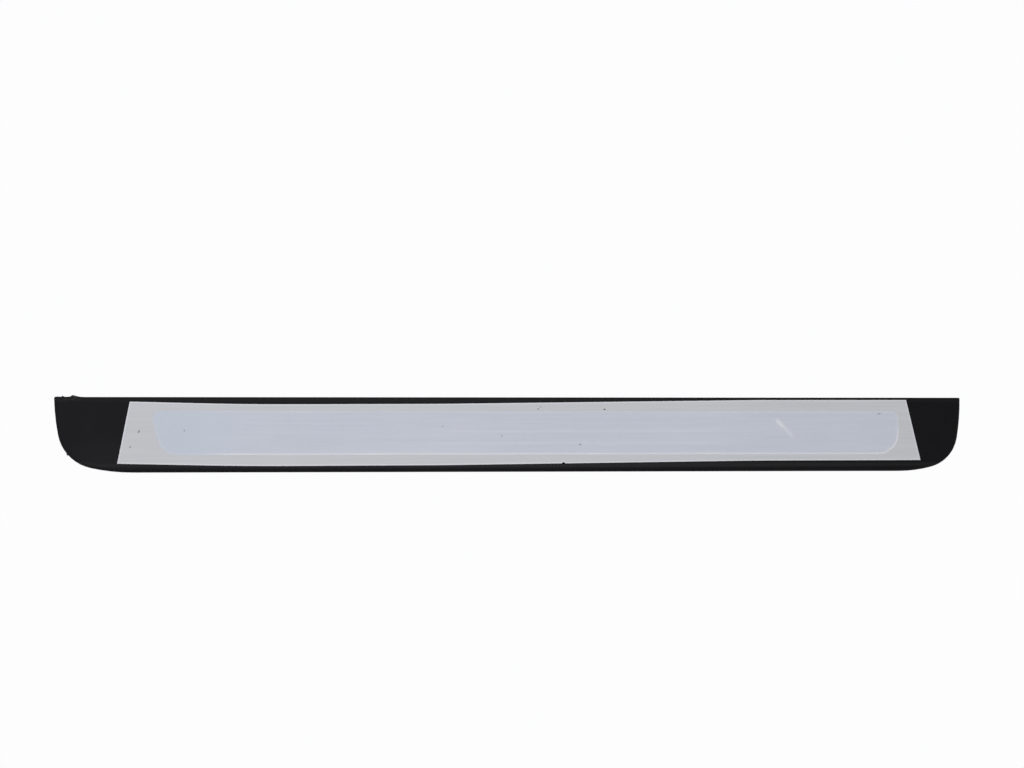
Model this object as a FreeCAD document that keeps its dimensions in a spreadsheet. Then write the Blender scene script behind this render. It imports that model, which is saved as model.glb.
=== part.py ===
import FreeCAD, Part
import math
import os
import re

import Sketcher

# Car door sill plate: a moulded plastic carrier with a bonded aluminium inlay.
# X runs along the sill, +Y points to the cabin (the straight inner edge), +Z is up.
# The origin lies on the seat plane, in the middle of the carrier.

# Every driving dimension: name, value in millimetres (degrees for a turn, a bare number
# for a count), and what it measures.
SIZES = [
    ("carrier_length", 565.0, "carrier, end to end along its inner edge"),
    ("carrier_width", 46.2, "carrier, inner edge to outer edge"),
    ("carrier_height", 10.0, "seat plane to the top face"),
    ("skirt_wall", 2.3, "thickness of the skirt round the underside"),
    ("floor_wall", 2.0, "thickness left under the inlay's recess"),
    ("outer_roll", 2.5, "rounding of the top along the outer edge and the ends"),
    ("inner_round", 0.6, "rounding of the top along the inner edge"),
    ("left_side_ratio", 2.987, "left end, radius of the nearly straight side over the width"),
    ("left_corner_ratio", 0.563, "left end, radius of the tight part over the width"),
    ("left_corner_angle", 66.0, "left end, degrees turned by the tight part"),
    ("left_lower_ratio", 2.511, "left end, radius of the run-out over the width"),
    ("left_lower_angle", 12.6, "left end, degrees turned by the run-out"),
    ("right_side_ratio", 3.052, "right end, radius of the nearly straight side over the width"),
    ("right_corner_ratio", 0.502, "right end, radius of the tight part over the width"),
    ("right_corner_angle", 64.9, "right end, degrees turned by the tight part"),
    ("right_lower_ratio", 1.732, "right end, radius of the run-out over the width"),
    ("right_lower_angle", 14.8, "right end, degrees turned by the run-out"),
    ("rib_thickness", 1.2, "stiffening ribs"),
    ("rib_count", 16, "cross ribs, evenly spread"),
    ("first_rib", 27.0, "left end of the carrier to the first cross rib"),
    ("last_rib", 13.0, "right end of the carrier to the last cross rib"),
    ("drain_width", 6.0, "drain notches in the foot of the cross ribs"),
    ("drain_height", 1.4, "drain notches in the foot of the cross ribs"),
    ("left_cap_inner", 45.9, "left end to the inlay, at the inlay's inner edge"),
    ("left_cap_outer", 38.7, "left end to the inlay, at the inlay's outer edge"),
    ("right_cap_inner", 35.2, "right end to the inlay, at the inlay's inner edge"),
    ("right_cap_outer", 26.5, "right end to the inlay, at the inlay's outer edge"),
    ("left_bend_at", 117.5, "left end to the inlay's left bend"),
    ("middle_bend_at", 237.5, "left end to the inlay's middle bend"),
    ("right_bend_at", 132.0, "right end to the inlay's right bend"),
    ("left_end_border", 2.75, "inner edge to the inlay, at its left end"),
    ("left_bend_border", 4.4, "inner edge to the inlay, at its left bend"),
    ("middle_bend_border", 4.0, "inner edge to the inlay, at its middle bend"),
    ("right_bend_border", 1.5, "inner edge to the inlay, at its right bend"),
    ("right_end_border", 1.35, "inner edge to the inlay, at its right end"),
    ("bend_radius", 2000.0, "softening of the inlay's bends"),
    ("plate_width", 38.1, "aluminium inlay, edge to edge"),
    ("plate_thickness", 0.8, "aluminium inlay"),
    ("plate_proud", 0.1, "how far the inlay stands above the carrier"),
    ("plate_gap", 0.15, "gap round the inlay in its recess"),
    ("plate_bevel", 0.2, "bevel of the inlay's upper edge"),
    ("nick_at", 312.2, "left end to the nick in the inlay's outer edge"),
    ("nick_width", 1.6, "nick, along the edge"),
    ("nick_depth", 0.8, "nick, into the inlay"),
    ("tape_thickness", 0.4, "bonding tape under the inlay"),
    ("tape_inset", 1.5, "how far the tape stays inside the inlay's outline"),
    ("film_thickness", 0.1, "protective film on the inlay"),
    ("film_width", 27.1, "film, across the sill"),
    ("film_border", 8.5, "inner edge of the carrier to the film"),
    ("film_left_inner", 58.4, "left end to the film, at the film's inner edge"),
    ("film_left_outer", 65.8, "left end to the film, at the film's outer edge"),
    ("film_right", 40.5, "right end to the film"),
    ("film_inner_radius", 5.0, "film, its corners on the cabin side"),
    ("film_outer_radius", 13.0, "film, its corners on the outer side"),
    ("row_offset", 9.5, "middle of the carrier to each row of clips"),
    ("clip_from_rib", 10.5, "cross rib to the clip on its right"),
    ("clip_cell_count", 4, "rib cells from one clip of a row to the next"),
    ("outer_skip_count", 1, "rib cells before the outer row's first clip"),
    ("outer_row_count", 4, "clips in the outer row"),
    ("inner_skip_count", 3, "rib cells before the inner row's first clip"),
    ("inner_row_count", 3, "clips in the inner row"),
    ("tower_size", 14.0, "clip tower, each side of its square plan"),
    ("tower_foot", 1.9, "seat plane to the underside of a clip tower"),
    ("tower_plate", 1.6, "thickness of the plate that the clip grips"),
    ("tower_wall", 1.2, "side walls of a clip tower"),
    ("keyhole_radius", 2.7, "keyhole that the clip's neck slides into"),
    ("throat_at", 3.2, "keyhole's middle to its snap throat"),
    ("throat_width", 4.6, "the snap throat that holds the clip in"),
    ("mouth_width", 8.0, "the keyhole's flared mouth"),
    ("grip_play", 0.05, "play above and below the gripped plate"),
    ("head_radius", 5.4, "clip, the disc above the gripped plate"),
    ("head_thickness", 1.4, "clip, the disc above the gripped plate"),
    ("neck_radius", 2.5, "clip, the neck through the keyhole"),
    ("flange_radius", 6.0, "clip, the disc under the gripped plate"),
    ("flange_thickness", 1.2, "clip, the disc under the gripped plate"),
    ("shank_radius", 3.3, "clip, the shank below its flange"),
    ("bulge_radius", 4.6, "clip, the widest part of its legs"),
    ("bulge_depth", 4.0, "seat plane down to the middle of the bulge"),
    ("bulge_flat", 0.8, "clip, height of the widest part"),
    ("nose_radius", 1.7, "clip, where the legs run together"),
    ("nose_depth", 9.0, "seat plane down to where the nose starts"),
    ("clip_depth", 9.6, "seat plane down to the tip of the clip"),
    ("leg_wall", 1.2, "thickness of the clip's four legs"),
    ("leg_slot", 1.5, "slots between the clip's legs"),
    ("leg_top", 0.6, "seat plane down to the top of the slots"),
    ("leg_end", 7.4, "seat plane down to the end of the slots"),
    ("seal_bore_radius", 3.5, "sealing washer, its bore"),
    ("seal_radius", 6.6, "sealing washer, its lip"),
    ("seal_web", 0.7, "sealing washer, thickness of the web"),
    ("seal_drop", 0.7, "seat plane down to the sealing lip"),
    ("seal_lip", 0.5, "sealing washer, thickness of the lip"),
    ("pin_radius", 2.5, "locating pins"),
    ("pin_depth", 6.0, "seat plane down to the tip of a locating pin"),
    ("pin_bevel", 0.8, "lead-in at the tip of a locating pin"),
    ("boss_radius", 4.5, "boss that carries a locating pin"),
    ("pin_offset", 9.5, "middle of the carrier to the locating pins"),
    ("pad_length", 24.0, "foam pad, along the sill"),
    ("pad_width", 14.0, "foam pad, across the sill"),
    ("pad_drop", 0.6, "seat plane down to the foot of a foam pad"),
]

# Heights and places that follow from the sizes, as formulas over their names.
RECESS_DEPTH = "(plate_thickness + tape_thickness - plate_proud)"
CEILING = f"(carrier_height - {RECESS_DEPTH} - floor_wall)"
RECESS_FLOOR = f"(carrier_height - {RECESS_DEPTH})"
PLATE_SEAT = f"({RECESS_FLOOR} + tape_thickness)"
PLATE_TOP = "(carrier_height + plate_proud)"
LEFT = "(-carrier_length / 2)"
RIGHT = "(carrier_length / 2)"
INNER = "(carrier_width / 2)"
OUTER = "(-carrier_width / 2)"
FLANGE_TOP = "(tower_foot - grip_play)"
FLANGE_FOOT = f"({FLANGE_TOP} - flange_thickness)"
HEAD_FOOT = "(tower_foot + tower_plate + grip_play)"
FIRST_RIB = f"({LEFT} + first_rib)"
RIB_PITCH = "((carrier_length - first_rib - last_rib) / (rib_count - 1))"
ROW_PITCH = f"(clip_cell_count * {RIB_PITCH})"
LEFT_PIN = f"({FIRST_RIB} + {RIB_PITCH} / 2)"
RIGHT_PIN = f"({RIGHT} - last_rib - {RIB_PITCH} / 2)"

NAMES = {name for name, _, _ in SIZES}
BEYOND = "skirt_wall * 10"          # how far a trimming frame reaches past the carrier
START, END, CENTRE = range(1, 4)    # the points of a sketch edge
X_AXIS, Y_AXIS = range(-1, -3, -1)  # a sketch's own axes
ORIGIN_POINT = (X_AXIS, START)
NEAR = 1e-3                         # two heights or places this close are the same


def bound(formula):
    """A formula over size names, written as an expression over the sheet's cells."""
    return re.sub(r"[a-z_]+", lambda w: "Sizes." + w[0] if w[0] in NAMES else w[0], formula)


def make_sheet(doc):
    """The spreadsheet that holds every driving dimension under its name."""
    sheet = doc.addObject("Spreadsheet::Sheet", "Sizes")
    for row, (name, value, meaning) in enumerate(SIZES, start=1):
        sheet.set(f"A{row}", meaning)
        sheet.set(f"B{row}", str(value))
        sheet.setAlias(f"B{row}", name)
    doc.recompute()
    return sheet


def value(owner, formula):
    """The present value of a formula over size names."""
    return float(owner.evalExpression(bound(formula)))


def new_body(doc, name):
    """An empty body whose label names its part file."""
    body = doc.addObject("PartDesign::Body", name)
    body.Label = name
    return body


def new_sketch(body, name, plane="XY_Plane", lift="0"):
    """A sketch on one of the body's own origin planes, raised by a formula."""
    sketch = body.newObject("Sketcher::SketchObject", name)
    support = next(f for f in body.Origin.OriginFeatures if f.Role == plane)
    sketch.AttachmentSupport = [(support, "")]
    sketch.MapMode = "FlatFace"
    sketch.setExpression("AttachmentOffset.Base.z", bound(lift))
    return sketch


def dimension(sketch, kind, refs, formula):
    """A dimensional constraint that follows a formula over size names."""
    unit = math.pi / 180 if kind == "Angle" else 1.0
    start = value(sketch, formula) * unit
    index = sketch.addConstraint(Sketcher.Constraint(kind, *refs, start))
    text = bound(formula)
    sketch.setExpression(f"Constraints[{index}]", f"({text}) * 1 deg" if kind == "Angle" else text)
    return index


def place(sketch, edge, point, x, y):
    """Fixes a point of an edge at two formulas, measured from the sketch's origin."""
    if x == "0":
        sketch.addConstraint(Sketcher.Constraint("PointOnObject", edge, point, Y_AXIS))
    else:
        dimension(sketch, "DistanceX", (*ORIGIN_POINT, edge, point), x)
    dimension(sketch, "DistanceY", (*ORIGIN_POINT, edge, point), y)


def round_corner(before, spot, after, radius):
    """An arc that rounds a corner, where it touches the two edges, and its direction."""
    come, leave = (spot - before).normalize(), (after - spot).normalize()
    turn = math.atan2(come.cross(leave).z, come.dot(leave))
    reach = radius * math.tan(abs(turn) / 2)
    touches = (spot - come * reach, spot + leave * reach)
    side = math.copysign(radius, turn)
    middle = touches[0] + FreeCAD.Vector(-come.y * side, come.x * side, 0)
    first = touches[0] if turn > 0 else touches[1]
    start = math.atan2(first.y - middle.y, first.x - middle.x)
    ring = Part.Circle(middle, FreeCAD.Vector(0, 0, 1), radius)
    return Part.ArcOfCircle(ring, start, start + abs(turn)), touches, turn > 0


def polygon(sketch, corners, soft=(), radius="0"):
    """A closed run of straight edges through corners given as pairs of formulas.

    The corners whose numbers are in soft are rounded by a radius. Their own spots stay
    as the points where the two straight edges would meet.
    """
    spots = [FreeCAD.Vector(value(sketch, x), value(sketch, y), 0) for x, y in corners]
    first, count = sketch.GeometryCount, len(corners)
    size = value(sketch, radius)
    bends = {i: round_corner(spots[i - 1], spots[i], spots[(i + 1) % count], size) for i in soft}
    for i in range(count):
        after = (i + 1) % count
        start = bends[i][1][1] if i in bends else spots[i]
        end = bends[after][1][0] if after in bends else spots[after]
        sketch.addGeometry(Part.LineSegment(start, end))
    for i, (x, y) in enumerate(corners):
        before = first + (i - 1) % count
        if i not in bends:
            sketch.addConstraint(Sketcher.Constraint("Coincident", before, END, first + i, START))
            place(sketch, first + i, START, x, y)
            continue
        arc = sketch.addGeometry(bends[i][0])
        near, far = (START, END) if bends[i][2] else (END, START)
        sketch.addConstraint(Sketcher.Constraint("Tangent", before, END, arc, near))
        sketch.addConstraint(Sketcher.Constraint("Tangent", arc, far, first + i, START))
        dimension(sketch, "Radius", (arc,), radius)
        mark = sketch.addGeometry(Part.Point(spots[i]), True)
        sketch.addConstraint(Sketcher.Constraint("PointOnObject", mark, START, before))
        sketch.addConstraint(Sketcher.Constraint("PointOnObject", mark, START, first + i))
        place(sketch, mark, START, x, y)


def rectangle(sketch, x_low, x_high, y_low, y_high):
    """A rectangle between four formulas."""
    return polygon(sketch, [(x_low, y_low), (x_high, y_low), (x_high, y_high), (x_low, y_high)])


def circle(sketch, x, y, radius):
    """A circle whose centre and radius are formulas."""
    middle = FreeCAD.Vector(value(sketch, x), value(sketch, y), 0)
    size = value(sketch, radius)
    edge = sketch.addGeometry(Part.Circle(middle, FreeCAD.Vector(0, 0, 1), size))
    place(sketch, edge, CENTRE, x, y)
    dimension(sketch, "Radius", (edge,), radius)
    return edge


def extrude(body, kind, name, sketch, length):
    """A Pad or Pocket that goes up from its sketch by a formula."""
    feature = body.newObject(f"PartDesign::{kind}", name)
    feature.Profile = sketch
    feature.setExpression("Length", bound(length))
    feature.Reversed = kind == "Pocket"
    return feature


def pad(body, name, sketch, length):
    """Material added upwards from a sketch."""
    feature = extrude(body, "Pad", name, sketch, length)
    body.Document.recompute()
    return feature


def pocket(body, name, sketch, length):
    """Material taken away upwards from a sketch. Stops the build if nothing was cut."""
    before = body.Shape.Volume
    feature = extrude(body, "Pocket", name, sketch, length)
    body.Document.recompute()
    if not body.Shape.Volume < before:
        raise RuntimeError(f"{body.Label}: {name} cuts nothing")
    return feature


def pattern(body, name, originals, pitch, count):
    """Copies of features along X."""
    feature = body.newObject("PartDesign::LinearPattern", name)
    feature.Originals = originals
    along = next(f for f in body.Origin.OriginFeatures if f.Role == "X_Axis")
    feature.Direction = (along, [""])
    feature.Mode = "Spacing"
    feature.setExpression("Offset", bound(pitch))
    feature.setExpression("Occurrences", bound(count))
    body.Tip = feature
    body.Document.recompute()
    return feature


def dress(body, kind, name, size_name, size, wanted):
    """A Fillet or Chamfer on the edges of the present shape that pass a test."""
    base = body.Tip
    chosen = [f"Edge{i}" for i, e in enumerate(base.Shape.Edges, start=1) if wanted(e)]
    feature = body.newObject(f"PartDesign::{kind}", name)
    feature.Base = (base, chosen)
    feature.setExpression(size_name, bound(size))
    body.Tip = feature
    body.Document.recompute()
    return feature


def level(edge, height):
    """Whether an edge lies flat at a height."""
    box = edge.BoundBox
    return abs(box.ZMin - height) < NEAR and abs(box.ZMax - height) < NEAR


def upright(edge):
    """Whether an edge runs straight up."""
    box = edge.BoundBox
    return box.XLength < NEAR and box.YLength < NEAR


class Chain:
    """A run of tangent arcs with exact end points, used as a sketch's first guess."""

    def __init__(self, x, y, heading):
        self.x, self.y, self.heading = x, y, heading

    def arc(self, radius, turn):
        """Turns left by an angle on a radius, and returns the arc."""
        nx, ny = -math.sin(self.heading), math.cos(self.heading)
        cx, cy = self.x + radius * nx, self.y + radius * ny
        start = self.heading - math.pi / 2
        self.heading += turn
        self.x = cx + radius * math.sin(self.heading)
        self.y = cy - radius * math.cos(self.heading)
        ring = Part.Circle(FreeCAD.Vector(cx, cy, 0), FreeCAD.Vector(0, 0, 1), radius)
        return Part.ArcOfCircle(ring, start, start + turn)


def arc_radius(side, part, inset):
    """The radius of one arc of an end, as a formula that follows the carrier's width."""
    return f"{side}_{part}_ratio * carrier_width - {inset}"


def end_arcs(sketch, side, inset):
    """First guesses for one end's three arcs, from the outer edge up, at x 0."""
    radii = [value(sketch, arc_radius(side, part, inset)) for part in ("lower", "corner", "side")]
    turns = [math.radians(value(sketch, f"{side}_{part}_angle")) for part in ("lower", "corner")]
    chain = Chain(0.0, value(sketch, f"{OUTER} + {inset}"), 0.0)
    arcs = [chain.arc(r, a) for r, a in zip(radii, turns)]
    rise = value(sketch, f"{INNER} - {inset}") - chain.y
    last = math.acos(math.cos(chain.heading) - rise / radii[2]) - chain.heading
    arcs.append(chain.arc(radii[2], last))
    return arcs, chain.x


def outline(sketch, inset="0", aligned_with=None, construction=False):
    """The carrier's outline in plan, or the same outline moved inwards by an inset.

    The inner edge and the outer edge are straight. Each end is three tangent arcs. An
    inset outline shares its centres with the full one, whose outer edge it lines up with.
    """
    right, right_run = end_arcs(sketch, "right", inset)
    left, left_run = end_arcs(sketch, "left", inset)
    full = {side: end_arcs(sketch, side, "0")[1] for side in ("left", "right")}
    right_x = value(sketch, RIGHT) - full["right"]
    left_x = value(sketch, LEFT) + full["left"]
    top, foot = value(sketch, f"{INNER} - {inset}"), value(sketch, f"{OUTER} + {inset}")
    flip = FreeCAD.Matrix()
    flip.scale(-1, 1, 1)
    for arc in right:
        arc.translate(FreeCAD.Vector(right_x, 0, 0))
    mirrored = []
    for arc in left:
        middle = FreeCAD.Vector(left_x - arc.Center.x, arc.Center.y, 0)
        ring = Part.Circle(middle, FreeCAD.Vector(0, 0, 1), arc.Radius)
        start, end = math.pi - arc.LastParameter, math.pi - arc.FirstParameter
        mirrored.append(Part.ArcOfCircle(ring, start, end))
    first = sketch.GeometryCount
    lower_edge = Part.LineSegment(FreeCAD.Vector(left_x, foot, 0), FreeCAD.Vector(right_x, foot, 0))
    top_right = FreeCAD.Vector(right_x + right_run, top, 0)
    top_left = FreeCAD.Vector(left_x - left_run, top, 0)
    inner_edge = Part.LineSegment(top_right, top_left)
    edges = [lower_edge, *right, inner_edge, *reversed(mirrored)]
    for edge in edges:
        sketch.addGeometry(edge, construction)
    lower, r_low, r_mid, r_side, upper, l_side, l_mid, l_low = range(first, first + len(edges))
    run = (l_side, l_mid, l_low, lower, r_low, r_mid, r_side)
    for one, other in zip(run, run[1:]):
        sketch.addConstraint(Sketcher.Constraint("Tangent", one, END, other, START))
    sketch.addConstraint(Sketcher.Constraint("Coincident", r_side, END, upper, START))
    sketch.addConstraint(Sketcher.Constraint("Coincident", upper, END, l_side, START))
    sketch.addConstraint(Sketcher.Constraint("Horizontal", lower))
    sketch.addConstraint(Sketcher.Constraint("Horizontal", upper))
    dimension(sketch, "DistanceY", (*ORIGIN_POINT, lower, START), f"{OUTER} + {inset}")
    dimension(sketch, "DistanceY", (*ORIGIN_POINT, upper, START), f"{INNER} - {inset}")
    for side, arcs in (("right", (r_low, r_mid, r_side)), ("left", (l_low, l_mid, l_side))):
        for part, arc in zip(("lower", "corner", "side"), arcs):
            dimension(sketch, "Radius", (arc,), arc_radius(side, part, inset))
        for part, arc in zip(("lower", "corner"), arcs):
            dimension(sketch, "Angle", (arc,), f"{side}_{part}_angle")
    if aligned_with is None:
        dimension(sketch, "DistanceX", (*ORIGIN_POINT, upper, START), RIGHT)
        dimension(sketch, "DistanceX", (*ORIGIN_POINT, upper, END), LEFT)
    else:
        for point in (START, END):
            sketch.addConstraint(Sketcher.Constraint("Vertical", aligned_with, point, lower, point))
    return lower


def inlay_corners(grow):
    """The inlay's outline, grown by a formula: two slanted ends and long edges with three bends."""
    stations = [
        (f"{LEFT} + left_cap_{{}}", "left_end_border", -1),
        (f"{LEFT} + left_bend_at", "left_bend_border", 0),
        (f"{LEFT} + middle_bend_at", "middle_bend_border", 0),
        (f"{RIGHT} - right_bend_at", "right_bend_border", 0),
        (f"{RIGHT} - right_cap_{{}}", "right_end_border", 1),
    ]
    inner = [
        (f"{x} + {end} * {grow}".format("inner"), f"{INNER} - {border} + {grow}")
        for x, border, end in stations
    ]
    outer = [
        (f"{x} + {end} * {grow}".format("outer"), f"{INNER} - {border} - plate_width - {grow}")
        for x, border, end in stations
    ]
    return outer + inner[::-1]


def inlay_outline(sketch, grow="0"):
    """Draws the inlay's outline, grown by a formula, with its bends rounded."""
    polygon(sketch, inlay_corners(grow), soft=(1, 2, 3, 6, 7, 8), radius="bend_radius")


def add_ribs(body):
    """One rib along the carrier and a row of cross ribs, trimmed to the middle of the skirt."""
    sketch = new_sketch(body, "Centre_Rib_Plan")
    rectangle(sketch, LEFT, RIGHT, "-rib_thickness / 2", "rib_thickness / 2")
    pad(body, "Centre_Rib", sketch, CEILING)
    sketch = new_sketch(body, "Cross_Rib_Plan")
    left_face, right_face = f"{FIRST_RIB} - rib_thickness / 2", f"{FIRST_RIB} + rib_thickness / 2"
    rectangle(sketch, left_face, right_face, OUTER, INNER)
    rib = pad(body, "Cross_Rib", sketch, CEILING)
    sketch = new_sketch(body, "Drain_Plan")
    for y in ("row_offset", "-row_offset"):
        rectangle(sketch, left_face, right_face, f"{y} - drain_width / 2", f"{y} + drain_width / 2")
    drain = pocket(body, "Drain_Notches", sketch, "drain_height")
    pattern(body, "Cross_Ribs", [rib, drain], RIB_PITCH, "rib_count")
    sketch = new_sketch(body, "Rib_Trim_Plan")
    whole = outline(sketch, construction=True)
    outline(sketch, "skirt_wall / 2", aligned_with=whole)
    frame = [f"{LEFT} - {BEYOND}", f"{RIGHT} + {BEYOND}", f"{OUTER} - {BEYOND}", f"{INNER} + {BEYOND}"]
    rectangle(sketch, *frame)
    pocket(body, "Rib_Trim", sketch, CEILING)


def add_shell(body):
    """The skirt, the top wall and the rounding of the top edges."""
    sketch = new_sketch(body, "Skirt_Plan")
    whole = outline(sketch)
    outline(sketch, "skirt_wall", aligned_with=whole)
    pad(body, "Skirt", sketch, CEILING)
    sketch = new_sketch(body, "Top_Wall_Plan", lift=CEILING)
    outline(sketch)
    pad(body, "Top_Wall", sketch, f"carrier_height - {CEILING}")
    top, inner = value(body, "carrier_height"), value(body, INNER)

    def along_inner(edge):
        return level(edge, top) and edge.BoundBox.YMin > inner - NEAR

    def along_outer(edge):
        return level(edge, top) and not along_inner(edge)

    dress(body, "Fillet", "Outer_Roll", "Radius", "outer_roll", along_outer)
    dress(body, "Fillet", "Inner_Edge", "Radius", "inner_round", along_inner)


def add_recess(body):
    """The recess that the tape and the inlay lie in."""
    sketch = new_sketch(body, "Recess_Plan", lift=RECESS_FLOOR)
    inlay_outline(sketch, "plate_gap")
    pocket(body, "Inlay_Recess", sketch, f"{RECESS_DEPTH} + carrier_height")


def clip_place(row, number=0):
    """Where a clip of a row stands along X, numbered from 0, as a formula."""
    return f"({FIRST_RIB} + {row}_skip_count * {RIB_PITCH} + clip_from_rib + {number} * {ROW_PITCH})"


def add_clip_row(body, row, y):
    """A row of clip towers, each open towards +X so that a clip's head slides in."""
    x = clip_place(row)
    half = "tower_size / 2"
    name = row.capitalize()
    sketch = new_sketch(body, f"{name}_Tower_Plan", lift="tower_foot")
    rectangle(sketch, f"{x} - {half}", f"{x} + {half}", f"{y} - {half}", f"{y} + {half}")
    tower = pad(body, f"{name}_Tower", sketch, f"{CEILING} - tower_foot")
    sketch = new_sketch(body, f"{name}_Head_Plan", lift="tower_foot + tower_plate")
    wall = f"({half} - tower_wall)"
    rectangle(sketch, f"{x} - {wall}", f"{x} + {half}", f"{y} - {wall}", f"{y} + {wall}")
    head = pocket(body, f"{name}_Head_Space", sketch, f"{CEILING} - tower_foot - tower_plate")
    sketch = new_sketch(body, f"{name}_Keyhole_Plan", lift="tower_foot")
    circle(sketch, x, y, "keyhole_radius")
    eye = pocket(body, f"{name}_Keyhole_Eye", sketch, "tower_plate")
    sketch = new_sketch(body, f"{name}_Keyway_Plan", lift="tower_foot")
    steps = [("0", "keyhole_radius"), ("throat_at", "throat_width / 2"), (half, "mouth_width / 2")]
    edge_points = [(f"{x} + {along}", f"{y} - {across}") for along, across in steps]
    edge_points += [(f"{x} + {along}", f"{y} + {across}") for along, across in reversed(steps)]
    polygon(sketch, edge_points)
    way = pocket(body, f"{name}_Keyway", sketch, "tower_plate")
    pattern(body, f"{name}_Towers", [tower, head, eye, way], ROW_PITCH, f"{row}_row_count")


def add_locators(body):
    """Two locating pins on bosses, one near each end."""
    sketch = new_sketch(body, "Locator_Boss_Plan")
    for x in (LEFT_PIN, RIGHT_PIN):
        circle(sketch, x, "pin_offset", "boss_radius")
    pad(body, "Locator_Bosses", sketch, CEILING)
    sketch = new_sketch(body, "Locator_Pin_Plan", lift="-pin_depth")
    for x in (LEFT_PIN, RIGHT_PIN):
        circle(sketch, x, "pin_offset", "pin_radius")
    pad(body, "Locator_Pins", sketch, f"pin_depth + {CEILING}")
    tip = -value(body, "pin_depth")
    dress(body, "Chamfer", "Locator_Tips", "Size", "pin_bevel", lambda edge: level(edge, tip))


def make_carrier(doc):
    """The black moulded carrier: skirt, ribs, recess, clip towers and locating pins."""
    body = new_body(doc, "sill_carrier")
    add_ribs(body)
    add_shell(body)
    add_recess(body)
    add_clip_row(body, "outer", "(-row_offset)")
    add_clip_row(body, "inner", "row_offset")
    add_locators(body)
    return body


def make_plate(doc):
    """The aluminium inlay, with a bevelled upper edge and one nick in its outer edge."""
    body = new_body(doc, "trim_plate")
    sketch = new_sketch(body, "Plate_Plan", lift=PLATE_SEAT)
    inlay_outline(sketch)
    pad(body, "Plate_Blank", sketch, "plate_thickness")
    top = value(body, PLATE_TOP)
    dress(body, "Chamfer", "Plate_Bevel", "Size", "plate_bevel", lambda edge: level(edge, top))
    run = "(nick_at - left_bend_at) / (carrier_length - left_bend_at - right_bend_at)"
    border = f"(left_bend_border + (right_bend_border - left_bend_border) * {run})"
    edge_y = f"({INNER} - {border} - plate_width)"
    x = f"({LEFT} + nick_at)"
    sketch = new_sketch(body, "Nick_Plan", lift=PLATE_SEAT)
    spread = "nick_width / nick_depth"
    below = f"({edge_y} - nick_depth)"
    polygon(sketch, [
        (f"{x} - {spread} * nick_depth", below),
        (f"{x} + {spread} * nick_depth", below),
        (x, f"{edge_y} + nick_depth"),
    ])
    pocket(body, "Edge_Nick", sketch, "plate_thickness")
    return body


def make_tape(doc):
    """The die-cut bonding tape between the recess and the inlay."""
    body = new_body(doc, "bonding_tape")
    sketch = new_sketch(body, "Tape_Plan", lift=RECESS_FLOOR)
    inlay_outline(sketch, "(-tape_inset)")
    pad(body, "Tape", sketch, "tape_thickness")
    return body


def make_film(doc):
    """The clear protective film on the inlay, with rounded corners."""
    body = new_body(doc, "protective_film")
    sketch = new_sketch(body, "Film_Plan", lift=PLATE_TOP)
    inner = f"{INNER} - film_border"
    outer = f"{inner} - film_width"
    polygon(sketch, [
        (f"{LEFT} + film_left_outer", outer),
        (f"{RIGHT} - film_right", outer),
        (f"{RIGHT} - film_right", inner),
        (f"{LEFT} + film_left_inner", inner),
    ])
    pad(body, "Film", sketch, "film_thickness")
    inner_edge, outer_edge = value(body, inner), value(body, outer)

    def on_inner(edge):
        return upright(edge) and edge.BoundBox.YMin > inner_edge - NEAR

    def on_outer(edge):
        return upright(edge) and edge.BoundBox.YMin < outer_edge + NEAR

    dress(body, "Fillet", "Film_Inner_Corners", "Radius", "film_inner_radius", on_inner)
    dress(body, "Fillet", "Film_Outer_Corners", "Radius", "film_outer_radius", on_outer)
    return body


def move_to(body, x, y):
    """Ties a body's place in plan to two formulas."""
    body.setExpression("Placement.Base.x", bound(x))
    body.setExpression("Placement.Base.y", bound(y))


def revolve(body, name, sketch):
    """A solid of revolution round the upright axis."""
    feature = body.newObject("PartDesign::Revolution", name)
    feature.Profile = sketch
    feature.ReferenceAxis = (sketch, ["V_Axis"])
    feature.Angle = 360
    body.Document.recompute()
    return feature


def make_clip(doc, name, x, y):
    """A snap clip: a gripping head, a neck, a flange and four bowed legs that meet at a nose."""
    body = new_body(doc, name)
    sketch = new_sketch(body, "Clip_Profile", plane="XZ_Plane")
    bulge_high = "-bulge_depth + bulge_flat / 2"
    bulge_low = "-bulge_depth - bulge_flat / 2"
    head_top = f"{HEAD_FOOT} + head_thickness"
    polygon(sketch, [
        ("0", head_top),
        ("head_radius", head_top),
        ("head_radius", HEAD_FOOT),
        ("neck_radius", HEAD_FOOT),
        ("neck_radius", FLANGE_TOP),
        ("flange_radius", FLANGE_TOP),
        ("flange_radius", FLANGE_FOOT),
        ("shank_radius", FLANGE_FOOT),
        ("shank_radius", "-leg_top"),
        ("bulge_radius", bulge_high),
        ("bulge_radius", bulge_low),
        ("nose_radius", "-nose_depth"),
        ("nose_radius / 2", "-clip_depth"),
        ("0", "-clip_depth"),
        ("0", "-leg_end - leg_wall / 2"),
        ("bulge_radius - leg_wall", bulge_low),
        ("bulge_radius - leg_wall", bulge_high),
        ("shank_radius - leg_wall", "-leg_top"),
        ("0", "-leg_top"),
    ])
    revolve(body, "Clip_Turned_Form", sketch)
    sketch = new_sketch(body, "Leg_Slot_Plan", lift="-leg_end")
    reach = "(bulge_radius + leg_slot)"
    rectangle(sketch, f"-{reach}", reach, "-leg_slot / 2", "leg_slot / 2")
    pocket(body, "Leg_Slot_Along", sketch, "leg_end - leg_top")
    sketch = new_sketch(body, "Leg_Cross_Slot_Plan", lift="-leg_end")
    rectangle(sketch, "-leg_slot / 2", "leg_slot / 2", f"-{reach}", reach)
    pocket(body, "Leg_Slot_Across", sketch, "leg_end - leg_top")
    move_to(body, x, y)
    return body


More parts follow.
